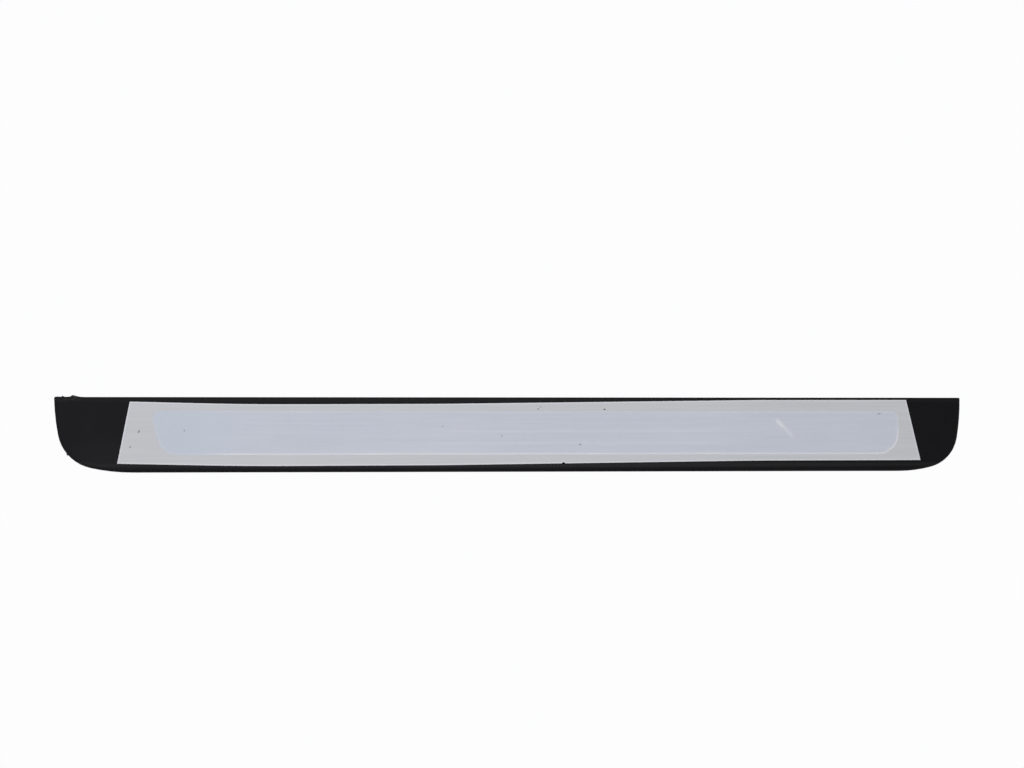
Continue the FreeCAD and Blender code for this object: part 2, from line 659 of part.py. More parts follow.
def make_seal(doc, name, x, y):
    """The soft washer under a clip's flange, which seals the hole in the body panel."""
    body = new_body(doc, name)
    sketch = new_sketch(body, "Seal_Profile", plane="XZ_Plane")
    polygon(sketch, [
        ("seal_bore_radius", FLANGE_FOOT),
        ("flange_radius", FLANGE_FOOT),
        ("seal_radius", "-seal_drop"),
        ("seal_radius - seal_lip", "-seal_drop"),
        ("flange_radius - seal_web", f"{FLANGE_FOOT} - seal_web"),
        ("seal_bore_radius", f"{FLANGE_FOOT} - seal_web"),
    ])
    revolve(body, "Seal_Ring", sketch)
    move_to(body, x, y)
    return body


def make_pad(doc, name, x, y):
    """A foam block stuck to the ceiling between two ribs, which stops rattle."""
    body = new_body(doc, name)
    sketch = new_sketch(body, "Pad_Plan", lift="-pad_drop")
    rectangle(sketch, "-pad_length / 2", "pad_length / 2", "-pad_width / 2", "pad_width / 2")
    pad(body, "Foam_Block", sketch, f"pad_drop + {CEILING}")
    move_to(body, x, y)
    return body


def check(doc, pieces):
    """Stops the build if any object failed or any piece isn't a good solid."""
    for item in doc.Objects:
        if {"Invalid", "Error"} & set(item.State):
            raise RuntimeError(f"{item.Label} failed: {item.State}")
    for piece in pieces:
        shape = piece.Shape
        if shape.isNull() or not shape.isValid() or len(shape.Solids) != 1:
            raise RuntimeError(f"{piece.Label} is not one valid solid")


def main():
    """Builds every piece and writes one STEP file for each."""
    doc = FreeCAD.newDocument("SillPlate")
    sheet = make_sheet(doc)
    pieces = [make_carrier(doc), make_plate(doc), make_tape(doc), make_film(doc)]
    number = 0
    for row, y in (("outer", "-row_offset"), ("inner", "row_offset")):
        for place_in_row in range(int(sheet.get(f"{row}_row_count"))):
            number += 1
            x = clip_place(row, place_in_row)
            pieces.append(make_clip(doc, f"clip_{number}", x, y))
            pieces.append(make_seal(doc, f"clip_seal_{number}", x, y))
            if row == "outer":
                cell = f"{x} - clip_from_rib + {RIB_PITCH} / 2"
                pieces.append(make_pad(doc, f"foam_pad_{number}", cell, "row_offset"))
    doc.recompute()
    check(doc, pieces)
    os.makedirs("parts", exist_ok=True)
    for piece in pieces:
        piece.Shape.exportStep(os.path.join("parts", f"{piece.Label}.step"))
        print(f"{piece.Label}: {piece.Shape.Volume / 1000:.2f} cm3")


main()
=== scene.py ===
"""Looks of a clip-on car door sill plate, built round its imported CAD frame.

The strip lies on the tips of its clips: a black moulded carrier, a satin metal inlay with
a clear film still on it, and the clips, seals, foam pads and pins that hold it on the sill.
"""

import logging
import math
from collections.abc import Callable, Iterable, Sequence
from dataclasses import dataclass, field
from enum import Enum
from typing import Any

import bmesh
import bpy
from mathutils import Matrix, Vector, noise


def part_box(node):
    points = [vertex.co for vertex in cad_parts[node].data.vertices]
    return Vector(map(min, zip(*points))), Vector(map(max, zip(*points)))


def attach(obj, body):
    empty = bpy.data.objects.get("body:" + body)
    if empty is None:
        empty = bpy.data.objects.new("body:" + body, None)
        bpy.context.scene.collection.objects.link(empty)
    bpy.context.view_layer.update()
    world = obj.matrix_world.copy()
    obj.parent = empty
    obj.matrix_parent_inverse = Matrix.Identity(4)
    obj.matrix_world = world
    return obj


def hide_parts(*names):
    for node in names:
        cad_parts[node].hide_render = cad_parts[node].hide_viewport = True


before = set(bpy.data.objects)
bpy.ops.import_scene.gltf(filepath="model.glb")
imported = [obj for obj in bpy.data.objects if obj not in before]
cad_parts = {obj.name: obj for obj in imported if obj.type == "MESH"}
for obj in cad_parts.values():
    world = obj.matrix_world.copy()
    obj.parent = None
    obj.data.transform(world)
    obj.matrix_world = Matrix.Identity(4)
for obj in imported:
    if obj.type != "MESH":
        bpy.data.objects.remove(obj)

Colour = tuple[float, float, float, float]
Point = tuple[float, float]
Place = tuple[float, float, float]
Face = tuple[int, ...]
Skin = tuple[list[Vector], list[Face]]
Wobble = Callable[[float, float], float]
Socket = bpy.types.NodeSocket
Tree = bpy.types.NodeTree
Node = bpy.types.Node
Material = bpy.types.Material
Piece = bpy.types.Object

log = logging.getLogger("door_sill")
MM = 0.001
BODY = "root"
NEAR = 1e-6     # two heights or places this close, in metres, are the same
WELD = 1e-7     # vertices of a new mesh this close, in metres, become one


class Slot(Enum):
    """The record's material slots."""

    CARRIER = "carrier_plastic"
    INLAY = "inlay_aluminium"
    TAPE = "acrylic_tape"
    FILM = "clear_film"
    CLIP = "clip_plastic"
    SEAL = "seal_rubber"
    PAD = "pad_foam"


class Effect(Enum):
    """Surface effects that several finishes share."""

    GRAIN = "moulded_grain"
    BRUSHING = "lengthwise_brushing"
    MOTTLE = "cloudy_mottle"
    SCRATCHES = "fine_scratches"
    SPOT = "soft_spot"
    DUST = "settled_dust"


class Kind(Enum):
    """Socket types of an effect's inputs and outputs."""

    NUMBER = "NodeSocketFloat"
    VECTOR = "NodeSocketVector"


def shade(red: float, green: float, blue: float) -> Colour:
    """Returns an opaque linear colour."""
    return (red, green, blue, 1.0)


# ---------------------------------------------------------------- node trees


class Graph:
    """One node tree, with short calls for the nodes that the finishes need."""

    def __init__(self, tree: Tree) -> None:
        """Keeps the tree that the nodes go into."""
        self.tree = tree

    def feed(self, socket: Socket, value: Any) -> None:
        """Links a socket to another, or sets its plain value.

        Args:
            socket: The input that is fed.
            value: An output socket, or the value of the input itself.
        """
        if isinstance(value, Socket):
            self.tree.links.new(value, socket)
        else:
            socket.default_value = value

    def add(self, kind: str, inputs: dict[Any, Any] | None = None, **settings: Any) -> Node:
        """Adds a node.

        Args:
            kind: The node's Blender type.
            inputs: Values or output sockets, by input name or index.
            **settings: Properties of the node itself.

        Returns:
            The new node.
        """
        node = self.tree.nodes.new(kind)
        for key, value in settings.items():
            setattr(node, key, value)
        for key, value in (inputs or {}).items():
            self.feed(node.inputs[key], value)
        return node

    def math(self, operation: str, first: Any, second: Any = 0.0) -> Socket:
        """Returns the result of one Math operation on two values."""
        return self.add("ShaderNodeMath", {0: first, 1: second}, operation=operation).outputs[0]

    def times(self, first: Any, second: Any) -> Socket:
        """Returns the product of two values."""
        return self.math("MULTIPLY", first, second)

    def plus(self, first: Any, second: Any) -> Socket:
        """Returns the sum of two values."""
        return self.math("ADD", first, second)

    def span(self, value: Any, low: float, high: float, to_low: Any = 0.0, to_high: Any = 1.0) -> Socket:
        """Maps a value smoothly from one range to another.

        Args:
            value: The value or socket that is mapped.
            low: The start of its range.
            high: The end of its range.
            to_low: What the start becomes.
            to_high: What the end becomes.

        Returns:
            The mapped value's socket.
        """
        node = self.add(
            "ShaderNodeMapRange",
            {"Value": value, "From Min": low, "From Max": high, "To Min": to_low, "To Max": to_high},
            interpolation_type="SMOOTHSTEP",
        )
        return node.outputs["Result"]

    def blend(self, mask: Any, under: Any, over: Any) -> Socket:
        """Mixes two colours.

        Args:
            mask: How much of the second colour shows, from 0 to 1.
            under: The first colour.
            over: The second colour.

        Returns:
            The mixed colour's socket.
        """
        node = self.add("ShaderNodeMix", data_type="RGBA")
        for socket, value in ((0, mask), (6, under), (7, over)):
            self.feed(node.inputs[socket], value)
        return node.outputs[2]

    def vector(self, operation: str, first: Any, second: Any) -> Socket:
        """Returns the result of one Vector Math operation on two vectors."""
        return self.add("ShaderNodeVectorMath", {0: first, 1: second}, operation=operation).outputs[0]

    def evenly(self, vector: Any, factor: Any) -> Socket:
        """Returns a vector scaled by one factor."""
        inputs = {0: vector, "Scale": factor}
        return self.add("ShaderNodeVectorMath", inputs, operation="SCALE").outputs[0]

    def noise(self, place: Any, scale: float, detail: float, roughness: float = 0.5) -> Node:
        """Returns a noise texture over a place: its value first, its colour second."""
        inputs = {"Vector": place, "Scale": scale, "Detail": detail, "Roughness": roughness}
        return self.add("ShaderNodeTexNoise", inputs)

    def cells(self, place: Any, scale: float = 1.0, feature: str = "F1", **inputs: float) -> Node:
        """Returns a cell texture over a place."""
        inputs = {"Vector": place, "Scale": scale, **inputs}
        return self.add("ShaderNodeTexVoronoi", inputs, feature=feature)

    def upward(self) -> Socket:
        """Returns how far the surface faces up, from -1 to 1."""
        normal = self.add("ShaderNodeNewGeometry").outputs["Normal"]
        return self.add("ShaderNodeSeparateXYZ", {0: normal}).outputs["Z"]

    def stored(self, name: str) -> Socket:
        """Returns a value that is stored on the mesh under a name."""
        return self.add("ShaderNodeAttribute", attribute_name=name).outputs["Fac"]

    def mixed(self, share: Any, under: Socket, over: Socket) -> Socket:
        """Returns two shaders mixed by the share of the second."""
        return self.add("ShaderNodeMixShader", {0: share, 1: under, 2: over}).outputs[0]

    def bump(self, height: Any, distance: float, normal: Any = None) -> Socket:
        """Raises the surface a little.

        Args:
            height: The height, from 0 to 1.
            distance: What a height of 1 stands for, in metres.
            normal: A normal that this one lies on, if there is one.

        Returns:
            The raised surface's normal.
        """
        inputs = {"Height": height, "Distance": distance, "Strength": 1.0}
        if normal is not None:
            inputs["Normal"] = normal
        return self.add("ShaderNodeBump", inputs).outputs["Normal"]


def fill_grain(graph: Graph, given: Node, made: Node) -> None:
    """Cells of a moulded grain: rounded pebbles with finer noise between them.

    Args:
        graph: The node tree of the group.
        given: The group's input node.
        made: The group's output node.
    """
    place = graph.evenly(given.outputs["Vector"], given.outputs["Cells"])
    pebble = graph.cells(place, feature="SMOOTH_F1", Smoothness=0.7).outputs["Distance"]
    fine = graph.noise(place, 2.6, 2.0, 0.6).outputs[0]
    height = graph.plus(graph.times(pebble, 0.9), graph.times(fine, 0.35))
    graph.feed(made.inputs["Height"], graph.times(height, given.outputs["Level"]))


def fill_brushing(graph: Graph, given: Node, made: Node) -> None:
    """Fine lines along X: noise that is stretched many times along the strip.

    Args:
        graph: The node tree of the group.
        given: The group's input node.
        made: The group's output node.
    """
    across = graph.evenly(given.outputs["Vector"], given.outputs["Lines"])
    fine = graph.noise(graph.vector("MULTIPLY", across, (0.012, 1.0, 1.0)), 1.0, 3.0, 0.65).outputs[0]
    broad = graph.noise(graph.vector("MULTIPLY", across, (0.003, 0.12, 0.12)), 1.0, 2.0).outputs[0]
    graph.feed(made.inputs["Streak"], graph.span(fine, 0.3, 0.7))
    graph.feed(made.inputs["Band"], graph.span(broad, 0.35, 0.65))


def fill_mottle(graph: Graph, given: Node, made: Node) -> None:
    """Soft clouds, as slow changes of tone or gloss over a surface.

    Args:
        graph: The node tree of the group.
        given: The group's input node.
        made: The group's output node.
    """
    place = graph.evenly(given.outputs["Vector"], given.outputs["Clouds"])
    cloud = graph.noise(place, 1.0, 4.0, 0.55).outputs[0]
    graph.feed(made.inputs["Mask"], graph.span(cloud, 0.35, 0.65))


def fill_scratches(graph: Graph, given: Node, made: Node) -> None:
    """Thin broken lines: the edges of stretched cells, kept only in some places.

    Args:
        graph: The node tree of the group.
        given: The group's input node.
        made: The group's output node.
    """
    place = graph.evenly(given.outputs["Vector"], given.outputs["Scale"])
    bent = graph.vector("ADD", place, graph.evenly(graph.noise(place, 0.7, 1.0).outputs[1], 0.8))
    drawn = graph.vector("MULTIPLY", bent, (0.35, 1.0, 1.0))
    edge = graph.cells(drawn, feature="DISTANCE_TO_EDGE").outputs["Distance"]
    line = graph.span(edge, 0.0, 0.035, 1.0, 0.0)
    patch = graph.noise(place, 0.45, 3.0).outputs[0]
    kept = graph.math("GREATER_THAN", patch, given.outputs["Sparseness"])
    graph.feed(made.inputs["Mask"], graph.times(line, kept))


def fill_spot(graph: Graph, given: Node, made: Node) -> None:
    """A soft oval spot round a point: 1 at its centre, 0 outside its radii.

    Args:
        graph: The node tree of the group.
        given: The group's input node.
        made: The group's output node.
    """
    away = graph.vector("SUBTRACT", given.outputs["Vector"], given.outputs["Centre"])
    inside = graph.vector("DIVIDE", away, given.outputs["Radii"])
    far = graph.add("ShaderNodeVectorMath", {0: inside}, operation="LENGTH").outputs["Value"]
    graph.feed(made.inputs["Mask"], graph.span(far, 0.25, 1.0, 1.0, 0.0))


def fill_dust(graph: Graph, given: Node, made: Node) -> None:
    """Scattered small grains of dust, each in a cell of its own.

    Args:
        graph: The node tree of the group.
        given: The group's input node.
        made: The group's output node.
    """
    cell = graph.cells(graph.evenly(given.outputs["Vector"], given.outputs["Cells"]))
    lot = graph.add("ShaderNodeSeparateColor", {0: cell.outputs["Color"]}).outputs[0]
    chosen = graph.math("LESS_THAN", lot, given.outputs["Amount"])
    grain = graph.span(cell.outputs["Distance"], 0.08, 0.2, 1.0, 0.0)
    graph.feed(made.inputs["Mask"], graph.times(grain, chosen))


@dataclass(frozen=True)
class EffectPlan:
    """What one shared effect takes and gives, and how its nodes are laid."""

    fill: Callable[[Graph, Node, Node], None]
    inputs: tuple[tuple[str, Kind, Any], ...]
    outputs: tuple[str, ...]


EFFECT_PLANS: dict[Effect, EffectPlan] = {
    Effect.GRAIN: EffectPlan(
        fill_grain, (("Cells", Kind.NUMBER, 2500.0), ("Level", Kind.NUMBER, 1.0)), ("Height",)
    ),
    Effect.BRUSHING: EffectPlan(fill_brushing, (("Lines", Kind.NUMBER, 5000.0),), ("Streak", "Band")),
    Effect.MOTTLE: EffectPlan(fill_mottle, (("Clouds", Kind.NUMBER, 20.0),), ("Mask",)),
    Effect.SCRATCHES: EffectPlan(
        fill_scratches, (("Scale", Kind.NUMBER, 300.0), ("Sparseness", Kind.NUMBER, 0.5)), ("Mask",)
    ),
    Effect.SPOT: EffectPlan(
        fill_spot,
        (("Centre", Kind.VECTOR, (0.0, 0.0, 0.0)), ("Radii", Kind.VECTOR, (0.01, 0.01, 0.01))),
        ("Mask",),
    ),
    Effect.DUST: EffectPlan(
        fill_dust, (("Cells", Kind.NUMBER, 900.0), ("Amount", Kind.NUMBER, 0.1)), ("Mask",)
    ),
}


class EffectShelf:
    """Makes each shared effect once and hands it out."""

    def __init__(self) -> None:
        """Starts with no effect made."""
        self.made: dict[Effect, Tree] = {}

    def get(self, effect: Effect) -> Tree:
        """Hands out an effect, made on its first use.

        Args:
            effect: The effect that is asked for.

        Returns:
            Its node group.
        """
        if effect not in self.made:
            self.made[effect] = self.make(effect)
        return self.made[effect]

    def make(self, effect: Effect) -> Tree:
        """Builds one effect's node group from its plan.

        Args:
            effect: The effect that is built.

        Returns:
            The new node group.
        """
        plan = EFFECT_PLANS[effect]
        tree = bpy.data.node_groups.new(effect.value, "ShaderNodeTree")
        tree.interface.new_socket(name="Vector", in_out="INPUT", socket_type=Kind.VECTOR.value)
        for name, kind, value in plan.inputs:
            socket = tree.interface.new_socket(name=name, in_out="INPUT", socket_type=kind.value)
            socket.default_value = value
        for name in plan.outputs:
            tree.interface.new_socket(name=name, in_out="OUTPUT", socket_type=Kind.NUMBER.value)
        graph = Graph(tree)
        plan.fill(graph, graph.add("NodeGroupInput"), graph.add("NodeGroupOutput"))
        return tree


SHELF = EffectShelf()


class Paint:
    """A material that is being laid: its graph, its shader and where the surface is."""

    def __init__(self, name: str) -> None:
        """Makes the material, its shader, and its place on the object in metres.

        Args:
            name: The material's name.
        """
        self.material = bpy.data.materials.new(name)
        self.material.use_nodes = True
        tree = self.material.node_tree
        tree.nodes.clear()
        self.graph = Graph(tree)
        self.output = self.graph.add("ShaderNodeOutputMaterial")
        self.shader = self.graph.add("ShaderNodeBsdfPrincipled")
        self.graph.feed(self.output.inputs["Surface"], self.shader.outputs[0])
        self.place = self.graph.add("ShaderNodeTexCoord").outputs["Object"]

    def use(self, effect: Effect, **values: Any) -> Node:
        """Places a shared effect on this surface, with its inputs' own values."""
        inputs = {"Vector": self.place, **values}
        return self.graph.add("ShaderNodeGroup", inputs, node_tree=SHELF.get(effect))

    def mask(self, effect: Effect, **values: Any) -> Socket:
        """Returns the one output of a shared effect that has no other."""
        return self.use(effect, **values).outputs[0]

    def set(self, **values: Any) -> None:
        """Sets or links the shader's sockets, named with _ for a space."""
        for key, value in values.items():
            self.graph.feed(self.shader.inputs[key.replace("_", " ")], value)


# ---------------------------------------------------------------- finishes


@dataclass(frozen=True)
class Patch:
    """A place on a surface in millimetres, how strong its effect is and how even."""

    centre: Place
    radii: Place
    strength: float = 1.0
    even: float = 0.0

    def mask(self, paint: Paint) -> Socket:
        """Lays the patch on a material.

        Args:
            paint: The material that is being laid.

        Returns:
            The patch's soft mask.
        """
        centre, radii = (tuple(v * MM for v in side) for side in (self.centre, self.radii))
        spot = paint.mask(Effect.SPOT, Centre=centre, Radii=radii)
        return paint.graph.times(spot, self.strength)


@dataclass(frozen=True)
class MouldedPlastic:
    """Black moulded plastic with painted light: lighter on the flat top and most towards the left end,
    painted shade on its sloping edges, pale where scuffed and along painted sheen bands.
    """

    name: str
    slope_shade: Colour
    dim_top: Colour
    dark: Colour
    light: Colour
    rubbed_and_sheen: Colour
    roughness: tuple[float, float]
    specular: float
    cells: float
    depth: float
    lit_patch: Patch
    scuffs_and_sheens: tuple[Patch, ...] = ()

    def wear_and_sheen(self, paint: Paint) -> Socket:
        """Returns the mask of rubbed and scratched plastic and of painted sheen.

        Args:
            paint: The material that the mask is for.

        Returns:
            A socket with 1 where rubbing and painted sheen are full.
        """
        graph = paint.graph
        line = paint.mask(Effect.SCRATCHES, Scale=520.0, Sparseness=0.46)
        cloud = paint.mask(Effect.MOTTLE, Clouds=900.0)
        rub = graph.plus(graph.times(line, 0.8), graph.times(cloud, 0.35))
        total: Any = graph.times(line, 0.015)
        for wear_and_sheen_patch in self.scuffs_and_sheens:
            marks = graph.span(rub, 0.0, 1.0, wear_and_sheen_patch.even, 1.0)
            total = graph.plus(total, graph.times(wear_and_sheen_patch.mask(paint), marks))
        return graph.math("MINIMUM", total, 1.0)

    def material(self) -> Material:
        """Lays the finish.

        Returns:
            The finished material.
        """
        paint = Paint(self.name)
        graph = paint.graph
        up = graph.upward()
        shown = graph.span(up, -0.1, 0.35, 0.25, 1.0)
        # Painted light: faces that look up take the lighter top colours, sloping faces take the painted
        # shade colour.
        flat = graph.span(up, 0.86, 0.995)
        grain = paint.mask(Effect.GRAIN, Cells=self.cells, Level=shown)
        cloud = paint.mask(Effect.MOTTLE, Clouds=28.0)
        dust = paint.mask(Effect.DUST, Cells=700.0, Amount=0.05)
        wave = graph.noise(paint.place, 90.0, 1.0).outputs[0]
        wear_and_sheen = self.wear_and_sheen(paint)
        # Painted light from the left: the lit patch lifts the top to the lighter cloud tones towards the
        # left end; the darker top colour is the less lit rest.
        lit_top = graph.blend(self.lit_patch.mask(paint), self.dim_top, graph.blend(cloud, self.dark, self.light))
        base = graph.blend(flat, self.slope_shade, lit_top)
        # Scuffs and painted sheen both lift the colour towards the rubbed grey.
        base = graph.blend(wear_and_sheen, base, self.rubbed_and_sheen)
        base = graph.blend(graph.times(dust, 0.12), base, shade(0.25, 0.24, 0.22))
        rough = graph.plus(graph.span(cloud, 0.0, 1.0, *self.roughness), graph.times(wear_and_sheen, 0.12))
        normal = graph.bump(grain, self.depth, graph.bump(wave, 0.00005))
        paint.set(Base_Color=base, Roughness=rough, Specular_IOR_Level=self.specular, Normal=normal)
        return paint.material


@dataclass(frozen=True)
class SatinMetal:
    """Satin anodised sheet with fine brushing along the strip, bare or with film bonded on it, with
    painted highlight on its tilted faces.
    """

    name: str
    dark: Colour
    light: Colour
    glint_colour: Colour
    roughness: tuple[float, float]
    lines: float
    gloss: float = 0.0
    film_glint: str = ""
    cool: Colour = shade(0.66, 0.74, 0.82)
    cool_patch: Patch | None = None

    def material(self) -> Material:
        """Lays the finish.

        Returns:
            The finished material.
        """
        paint = Paint(self.name)
        graph = paint.graph
        brushed = paint.use(Effect.BRUSHING, Lines=self.lines)
        streak, band = brushed.outputs["Streak"], brushed.outputs["Band"]
        cloud = paint.mask(Effect.MOTTLE, Clouds=14.0)
        scratch = paint.mask(Effect.SCRATCHES, Scale=160.0, Sparseness=0.6)
        tone = graph.plus(graph.times(streak, 0.45), graph.times(band, 0.35))
        tone = graph.plus(tone, graph.times(cloud, 0.2))
        base = graph.blend(tone, self.dark, self.light)
        base = graph.blend(graph.times(scratch, 0.10), base, shade(0.86, 0.86, 0.88))
        if self.cool_patch:
            base = graph.blend(self.cool_patch.mask(paint), base, self.cool)
        # Painted highlight: tilted faces, or the film's stored glint, turn to the near-white glint
        # colour.
        pale = graph.span(graph.math("ABSOLUTE", graph.upward()), 0.99, 0.9)
        if self.film_glint:
            pale = graph.stored(self.film_glint)
            paint.set(Coat_Weight=self.gloss, Coat_Roughness=0.16)
        base = graph.blend(pale, base, self.glint_colour)
        rough = graph.span(tone, 0.0, 1.0, *self.roughness)
        paint.set(Base_Color=base, Metallic=1.0, Roughness=rough, Normal=graph.bump(streak, 0.000004))
        return paint.material


@dataclass(frozen=True)
class ClearFilm:
    """Clear bluish film, whiter with painted highlight where it creases, lifts, streaks or ends."""

    name: str
    tint: Colour
    white: Colour
    body: float
    edge: float
    roughness: float
    attribute: str

    def material(self) -> Material:
        """Lays the finish.

        Returns:
            The finished material.
        """
        paint = Paint(self.name)
        graph = paint.graph
        film_glint = graph.stored(self.attribute)
        cloud = paint.mask(Effect.MOTTLE, Clouds=22.0)
        scratch = paint.mask(Effect.SCRATCHES, Scale=120.0, Sparseness=0.56)
        ripple = graph.noise(paint.place, 160.0, 2.0).outputs[0]
        # Painted highlight from the stored glint, together with the film's real scratches.
        pale = graph.math("MAXIMUM", film_glint, graph.times(scratch, 0.12))
        body = graph.span(cloud, 0.0, 1.0, self.body * 0.82, self.body * 1.12)
        alpha = graph.plus(body, graph.times(pale, self.edge))
        paint.set(
            Base_Color=graph.blend(pale, self.tint, self.white),
            Roughness=graph.span(cloud, 0.0, 1.0, self.roughness, self.roughness + 0.12),
            Alpha=graph.math("MINIMUM", alpha, 1.0),
            Specular_IOR_Level=0.4,
            Normal=graph.bump(ripple, 0.00002),
        )
        return paint.material


@dataclass(frozen=True)
class CloudedSolid:
    """A plain solid colour with clouds of tone, fine texture and a little dust."""

    name: str
    dark: Colour
    light: Colour
    roughness: tuple[float, float]
    specular: float
    clouds: float
    cells: float
    depth: float
    dust: float = 0.0
    glow: float = 0.0
    glow_depth: Place = (0.0012, 0.0011, 0.0009)

    def material(self) -> Material:
        """Lays the finish.

        Returns:
            The finished material.
        """
        paint = Paint(self.name)
        graph = paint.graph
        cloud = paint.mask(Effect.MOTTLE, Clouds=self.clouds)
        grain = paint.mask(Effect.GRAIN, Cells=self.cells, Level=1.0)
        base = graph.blend(cloud, self.dark, self.light)
        if self.dust:
            mask = paint.mask(Effect.DUST, Cells=1100.0, Amount=self.dust)
            base = graph.blend(graph.times(mask, 0.5), base, shade(0.30, 0.28, 0.25))
        paint.set(
            Base_Color=base,
            Roughness=graph.span(cloud, 0.0, 1.0, *self.roughness),
            Specular_IOR_Level=self.specular,
            Normal=graph.bump(grain, self.depth),
        )
        if self.glow:
            paint.set(Subsurface_Weight=self.glow, Subsurface_Scale=1.0)
            paint.set(Subsurface_Radius=self.glow_depth)
        return paint.material


@dataclass(frozen=True)
class OpenCellFoam:
    """Charcoal foam: open pores of two sizes, darkened with painted shade, between paler cell walls."""

    name: str
    wall: Colour
    pore_shade: Colour
    cells: float

    def material(self) -> Material:
        """Lays the finish.

        Returns:
            The finished material.
        """
        paint = Paint(self.name)
        graph = paint.graph
        place = graph.evenly(paint.place, self.cells)
        large, small = (graph.cells(place, scale).outputs["Distance"] for scale in (1.0, 2.7))
        # Painted shade: the pores are darkened towards the pore colour, and also pressed in as bumps.
        pits = graph.times(graph.span(large, 0.15, 0.6), graph.span(small, 0.1, 0.55, 0.6, 1.0))
        cloud = paint.mask(Effect.MOTTLE, Clouds=160.0)
        base = graph.blend(pits, self.pore_shade, self.wall)
        base = graph.blend(graph.times(cloud, 0.3), base, shade(0.055, 0.055, 0.058))
        normal = graph.bump(pits, 0.00025)
        paint.set(Base_Color=base, Roughness=0.95, Specular_IOR_Level=0.15, Normal=normal)
        return paint.material


